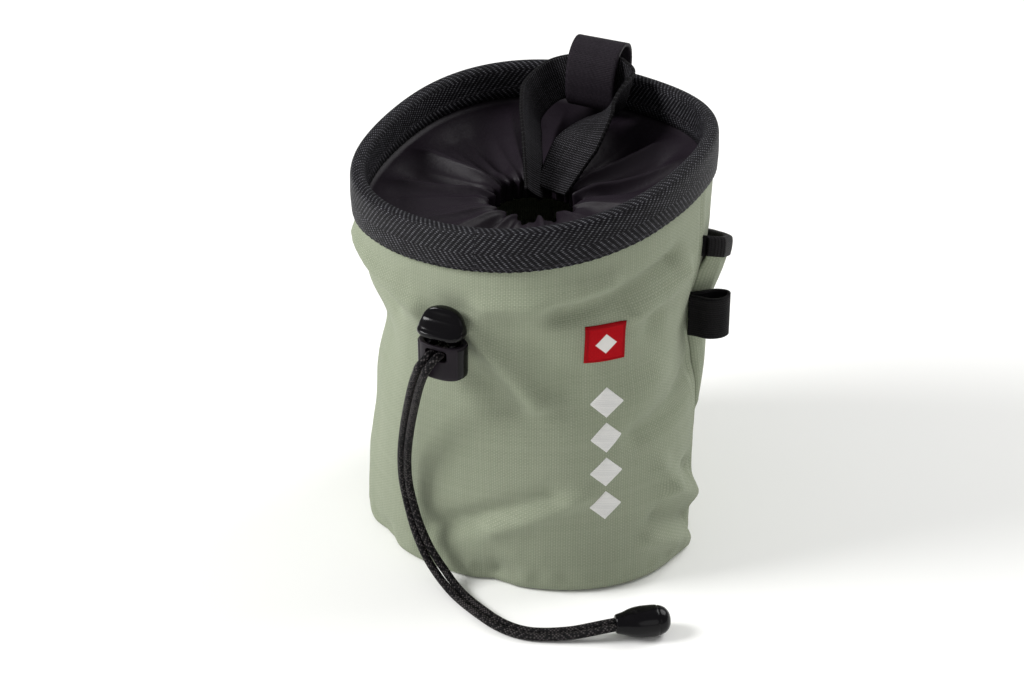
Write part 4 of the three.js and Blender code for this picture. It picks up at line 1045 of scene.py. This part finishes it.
def brush_loop_stations():
    azimuth = math.radians(SEAM_AZIMUTH)
    foot = BAG_HEIGHT - BRUSH_LOOP_DROP
    seat = max(wall_radius(azimuth, foot + share * BRUSH_LOOP_WIDTH / 8) for share in range(9))
    radial = around(azimuth, 1, 0)
    side = Vector((math.cos(azimuth), math.sin(azimuth), 0))
    reach = BRUSH_LOOP_REACH - GAP - BRUSH_LOOP_THICKNESS / 2
    lean = math.tan(math.radians(BRUSH_LOOP_LEAN))
    opening = BRUSH_LOOP_OPENING + BRUSH_LOOP_THICKNESS
    points = [side * (across * opening + out * reach * lean) + radial * (seat + GAP + out * reach)
              for across, out in BRUSH_LOOP_PATH]
    line = resample(spline(points, 12), 72)
    for spot in line:
        spot.z = foot + BRUSH_LOOP_WIDTH / 2
    return line


brush_middles = brush_loop_stations()
brush_loop = thicken(finish_piece(
    "brush_loop_elastic",
    band_mesh(brush_middles, [Vector((0, 0, 1))] * len(brush_middles),
              [BRUSH_LOOP_WIDTH] * len(brush_middles), 14),
    ELASTIC, replaces=("brush_loop",)), BRUSH_LOOP_THICKNESS, 0.0)


# Back pocket and the tape over its mouth

def pocket_share(column, azimuth):
    side = (math.degrees(azimuth) - SEAM_AZIMUTH) % 360
    from_seam = max(min(side, 180 - side), POCKET_MOUTH[0][0])
    for low, high in zip(POCKET_MOUTH, POCKET_MOUTH[1:]):
        if from_seam <= high[0]:
            return lerp(low[column], high[column], (from_seam - low[0]) / (high[0] - low[0]))
    return POCKET_MOUTH[-1][column]


def pocket_mouth(azimuth):
    return BAG_HEIGHT - POCKET_DROP - POCKET_DIP * pocket_share(2, azimuth)


def pocket_radius(azimuth, height):
    mouth = pocket_mouth(azimuth)
    rise = (height - POCKET_FOOT) / (mouth - POCKET_FOOT)
    belly = math.sin(POCKET_SWELL * max(rise, 0) ** 1.1)
    tape_foot = mouth - POCKET_TAPE_WIDTH
    room = smoothstep(height, tape_foot - POCKET_TAPE_WIDTH, tape_foot)
    stand_off = max(POCKET_GAPE * pocket_share(1, azimuth) * belly, (POCKET_TAPE + GAP) * room)
    from_seam = (math.degrees(azimuth) - SEAM_AZIMUTH) % 360
    from_edge = min(from_seam, 180 - from_seam) - POCKET_MOUTH[0][0]
    sewn = max(1 - smoothstep(height, POCKET_FOOT, POCKET_FOOT + 4), 1 - smoothstep(from_edge, 0, 1.6))
    return (wall_radius(azimuth, height) + small_wrinkles(azimuth, height) * 0.5 + GAP + stand_off
            - POCKET_CLOTH * 1.1 * sewn)


def pocket_azimuth(u, inset=0.0):
    edge = POCKET_MOUTH[0][0] + inset
    return math.radians(SEAM_AZIMUTH + lerp(edge, 180 - edge, u))


def pocket_spot(u, v):
    azimuth = pocket_azimuth(u, 0.9 * smoothstep(v, 0.8, 0.9))
    height = lerp(POCKET_FOOT, pocket_mouth(azimuth) - POCKET_TAPE - GAP, v)
    return around(azimuth, pocket_radius(azimuth, height) + POCKET_CLOTH, height)


pocket = thicken(finish_piece(
    "pocket_cloth", grid_mesh(200, 60, pocket_spot, lambda u, v: (u * 200, v * 72)),
    GREEN_CLOTH, replaces=("back_pocket",)), POCKET_CLOTH)


POCKET_HALF = POCKET_CLOTH / 2 + GAP + POCKET_TAPE
POCKET_TAPE_PROFILE = spline([Vector(point) for point in (
    (POCKET_HALF, -POCKET_TAPE_WIDTH, 0), (POCKET_HALF + 0.1, -5, 0), (POCKET_HALF, -1.6, 0),
    (POCKET_HALF * 0.7, -0.4, 0), (0, 0, 0), (-POCKET_HALF * 0.7, -0.4, 0), (-POCKET_HALF, -1.6, 0),
    (-POCKET_HALF, -5, 0), (-POCKET_HALF, -POCKET_TAPE_WIDTH, 0))], 3)
POCKET_TAPE_LENGTHS = run_lengths(POCKET_TAPE_PROFILE)


def pocket_tape_spot(u, v):
    azimuth = pocket_azimuth(u)
    k = round(v * (len(POCKET_TAPE_PROFILE) - 1))
    mouth = pocket_mouth(azimuth)
    height = mouth + POCKET_TAPE_PROFILE[k].y
    middle = pocket_radius(azimuth, min(height, mouth - POCKET_TAPE - GAP)) + POCKET_CLOTH / 2
    return around(azimuth, middle + POCKET_TAPE_PROFILE[k].x, height)


def pocket_tape_pattern(u, v):
    return (u * 200, POCKET_TAPE_LENGTHS[round(v * (len(POCKET_TAPE_PROFILE) - 1))])


pocket_tape = thicken(finish_piece(
    "pocket_tape", grid_mesh(200, len(POCKET_TAPE_PROFILE) - 1, pocket_tape_spot, pocket_tape_pattern),
    ELASTIC, replaces=("pocket_binding",)), POCKET_TAPE)


# Woven patch and the column of stitched lozenges below it

def on_wall(azimuth_degrees, height, right, up, lift):
    """A point on the front of the wall, right and up in millimetres from an azimuth and a height."""
    middle = math.radians(azimuth_degrees)
    azimuth = middle + right / wall_radius(middle, height)
    return around(azimuth, wall_radius(azimuth, height + up) + small_wrinkles(azimuth, height + up) + lift,
                  height + up)


def patch_spot(u, v):
    right, up = (u - 0.5) * PATCH_SIZE, (v - 0.5) * PATCH_SIZE
    edge = PATCH_SIZE / 2 - max(abs(right), abs(up))
    lift = PATCH_SEAT + PATCH_THICKNESS * math.sqrt(clamp(edge / 0.6))
    return on_wall(PATCH_AZIMUTH, BAG_HEIGHT - PATCH_DROP, right, up, lift - 0.35)


patch = thicken(finish_piece(
    "patch_cloth",
    grid_mesh(48, 48, patch_spot, lambda u, v: ((u - 0.5) * PATCH_SIZE, (v - 0.5) * PATCH_SIZE)),
    PATCH_CLOTH, replaces=("woven_patch",)), PATCH_THICKNESS * 0.6)

LOZENGE_AZIMUTH = 39.6
LOZENGE_HALF = 6.4
LOZENGE_PITCH = 14.7
LOZENGE_COUNT = 4
LOZENGE_FOOT = 38.5


def add_lozenge(index):
    middle = LOZENGE_FOOT + index * LOZENGE_PITCH

    def spot(u, v):
        right, up = u - 0.5, v - 0.5
        across, along = (right - up) * LOZENGE_HALF, (right + up) * LOZENGE_HALF
        edge = 0.5 - max(abs(right), abs(up))
        lift = 0.75 * math.sqrt(clamp(edge * 4)) - 0.05
        return on_wall(LOZENGE_AZIMUTH, middle, across, along, lift)

    def pattern(u, v):
        return ((u - v) * LOZENGE_HALF, (u + v) * LOZENGE_HALF)

    return finish_piece("stitched_lozenge_%d" % (index + 1), grid_mesh(24, 24, spot, pattern), SATIN_STITCH)


for lozenge_index in range(LOZENGE_COUNT):
    add_lozenge(lozenge_index)


# Cord lock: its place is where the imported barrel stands

barrel_low, barrel_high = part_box("lock_barrel")
button_low, button_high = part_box("lock_button")
LOCK_SPOT = (barrel_low + barrel_high) / 2 / MM
LOCK_FOOT = barrel_low.z / MM
BUTTON_FOOT = button_high.z / MM - BUTTON_HEIGHT
LOCK_TURN = Matrix.Rotation(math.atan2(LOCK_SPOT.x, -LOCK_SPOT.y), 4, "Z")


def settle_on_lock(mesh, height):
    """Moves a shape drawn at the origin, front towards -Y, to the lock's place."""
    bmesh.ops.transform(mesh, matrix=LOCK_TURN, verts=mesh.verts)
    bmesh.ops.translate(mesh, vec=(LOCK_SPOT.x, LOCK_SPOT.y, height), verts=mesh.verts)
    return mesh


def oval_mesh(profile, squareness, steps=64):
    """An oval turned body whose front half is squarer in plan than its back."""
    mesh = turned_mesh(profile, steps)
    for vert in mesh.verts:
        reach = math.hypot(vert.co.x, vert.co.y)
        if reach > 1e-4 and vert.co.y < 0:
            power = 2 + squareness * smoothstep(-vert.co.y / reach, 0, 0.4)
            across, ahead = abs(vert.co.x) / reach, abs(vert.co.y) / reach
            scale = (across ** power + ahead ** power) ** (-1 / power)
            vert.co.x *= scale
            vert.co.y *= scale
    bmesh.ops.scale(mesh, vec=(LOCK_WIDTH / 2, LOCK_DEPTH / 2, 1), verts=mesh.verts)
    return mesh


def cut_box(target, size, middle, material):
    """Cuts a rounded box out of a piece, and keeps the result as the piece's own mesh."""
    mesh = bmesh.new()
    bmesh.ops.create_cube(mesh, size=1)
    bmesh.ops.scale(mesh, vec=size, verts=mesh.verts)
    edges = [e for e in mesh.edges if abs((e.verts[0].co - e.verts[1].co).normalized().y) > 0.9]
    bmesh.ops.bevel(mesh, geom=edges, offset=1.3, segments=4, profile=0.5, affect="EDGES", material=-1)
    bmesh.ops.translate(mesh, vec=(0, 0, middle), verts=mesh.verts)
    settle_on_lock(mesh, 0)
    cutter = finish_piece("slot_cutter", mesh, material)
    boolean = target.modifiers.new("slot", "BOOLEAN")
    boolean.object = cutter
    boolean.solver = "EXACT"
    bpy.context.view_layer.update()
    made = bpy.data.meshes.new_from_object(target.evaluated_get(bpy.context.evaluated_depsgraph_get()))
    target.modifiers.clear()
    target.data = made
    bpy.data.objects.remove(cutter)
    return target


def add_lock_barrel():
    top = BARREL_HEIGHT
    profile = rounded([(0, 0), (0.6, 0), (0.8, 0.15), (0.93, 0.8), (0.985, 2.0), (1, 4), (1, 8),
                       (1, top - 1.2), (0.985, top - 0.4), (0.94, top), (0.84, top), (0.78, top - 0.4),
                       (0.74, top - 1.6), (0.70, top - 3), (0.70, BARREL_FLOOR), (0, BARREL_FLOOR)], 5)
    mesh = oval_mesh(profile, 0.5)
    cheeks = []
    for face in mesh.faces:
        middle = face.calc_center_median()
        beside = abs(middle.x) > LOCK_WIDTH * 0.4 and abs(face.normal.x) > 0.5
        if beside and CHEEK_MARGIN < middle.z < top - CHEEK_MARGIN + 0.6:
            cheeks.append(face)
    raised = bmesh.ops.extrude_face_region(mesh, geom=cheeks)
    for vert in raised["geom"]:
        if isinstance(vert, bmesh.types.BMVert):
            vert.co.x += math.copysign(CHEEK_RELIEF, vert.co.x)
    for face in raised["geom"]:
        if isinstance(face, bmesh.types.BMFace):
            face.material_index = 1
    bmesh.ops.delete(mesh, geom=cheeks, context="FACES")
    settle_on_lock(mesh, LOCK_FOOT)
    piece = finish_piece("lock_housing", mesh, SATIN_PLASTIC, replaces=("lock_barrel",))
    piece.data.materials.append(GLOSS_PLASTIC)
    return cut_box(piece, (CORD_SLOT_WIDTH, 2 * LOCK_DEPTH, CORD_SLOT_HEIGHT),
                   LOCK_FOOT + CORD_SLOT_RISE, SATIN_PLASTIC)


def add_lock_button():
    """A domed cap with a slanting thumb face over a brim, on a stem that runs into the barrel."""
    profile = rounded([(0, BUTTON_HEIGHT), (0.3, BUTTON_HEIGHT - 0.15), (0.58, BUTTON_HEIGHT - 1.0),
                       (0.8, BUTTON_HEIGHT - 2.8), (0.92, BUTTON_HEIGHT - 5.0), (0.97, 3.2), (0.98, 2.4),
                       (0.995, 1.9), (1.01, 1.2), (0.99, 0.5), (0.94, 0.1), (0.8, 0), (0.66, 0),
                       (0.62, -0.5), (0.6, -3), (0.6, -STEM_DEPTH), (0, -STEM_DEPTH)], 5)
    mesh = oval_mesh(profile, 1.0)
    for vert in mesh.verts:
        if vert.co.y < 0:
            vert.co.y *= lerp(1, 0.3, smoothstep(vert.co.z, 1.7, 5.6))
            brim = smoothstep(vert.co.z, -0.1, 0.3) * (1 - smoothstep(vert.co.z, 1.6, 2.6))
            vert.co.y -= 0.6 * brim * smoothstep(-vert.co.y, 1.5, 4.5)
        vert.co.y += 0.5 * smoothstep(vert.co.z, 4, 8)
    settle_on_lock(mesh, BUTTON_FOOT)
    piece = finish_piece("lock_cap", mesh, GLOSS_PLASTIC, body="button", replaces=("lock_button",))
    return cut_box(piece, (CORD_SLOT_WIDTH, 2 * LOCK_DEPTH, CORD_SLOT_HEIGHT + BUTTON_TRAVEL),
                   LOCK_FOOT + CORD_SLOT_RISE + BUTTON_TRAVEL / 2, GLOSS_PLASTIC)


lock_housing = add_lock_barrel()
lock_cap = add_lock_button()


# Floor, light and background

def pale_floor():
    material, tree, shader = new_material("pale floor", Roughness=0.7, Specular_IOR_Level=0.2)
    slow = use_group(tree, SOFT_VARIATION, {"Size mm": 400.0}).outputs[0]
    tone = blend_colour(tree, slow, linear(250, 250, 248), linear(254, 254, 252))
    tree.links.new(tone, shader.inputs["Base Color"])
    mesh = bmesh.new()
    bmesh.ops.create_grid(mesh, x_segments=8, y_segments=8, size=6)
    data = bpy.data.meshes.new("floor")
    mesh.to_mesh(data)
    mesh.free()
    floor = bpy.data.objects.new("floor", data)
    data.materials.append(material)
    SCENE.collection.objects.link(floor)


def area_light(name, place, aim, size, power):
    data = bpy.data.lights.new(name, "AREA")
    data.shape = "DISK"
    data.size = size
    data.energy = power
    lamp = bpy.data.objects.new(name, data)
    lamp.location = place
    lamp.rotation_mode = "QUATERNION"
    lamp.rotation_quaternion = (Vector(aim) - Vector(place)).to_track_quat("-Z", "Y")
    SCENE.collection.objects.link(lamp)


pale_floor()
area_light("key light", (-1.15, -0.55, 0.95), (0, 0, 0.08), 0.7, 24)
area_light("back light", (0.9, 0.9, 1.2), (0.1, 0.1, 0.05), 1.2, 18)
area_light("low fill", (1.0, -1.2, 0.6), (0, 0, 0.08), 1.0, 2.5)

world = bpy.data.worlds.new("studio")
world.use_nodes = True
world.node_tree.nodes["Background"].inputs[0].default_value = (1, 1, 1, 1)
world.node_tree.nodes["Background"].inputs[1].default_value = 0.38
SCENE.world = world
SCENE.view_settings.view_transform = "Standard"
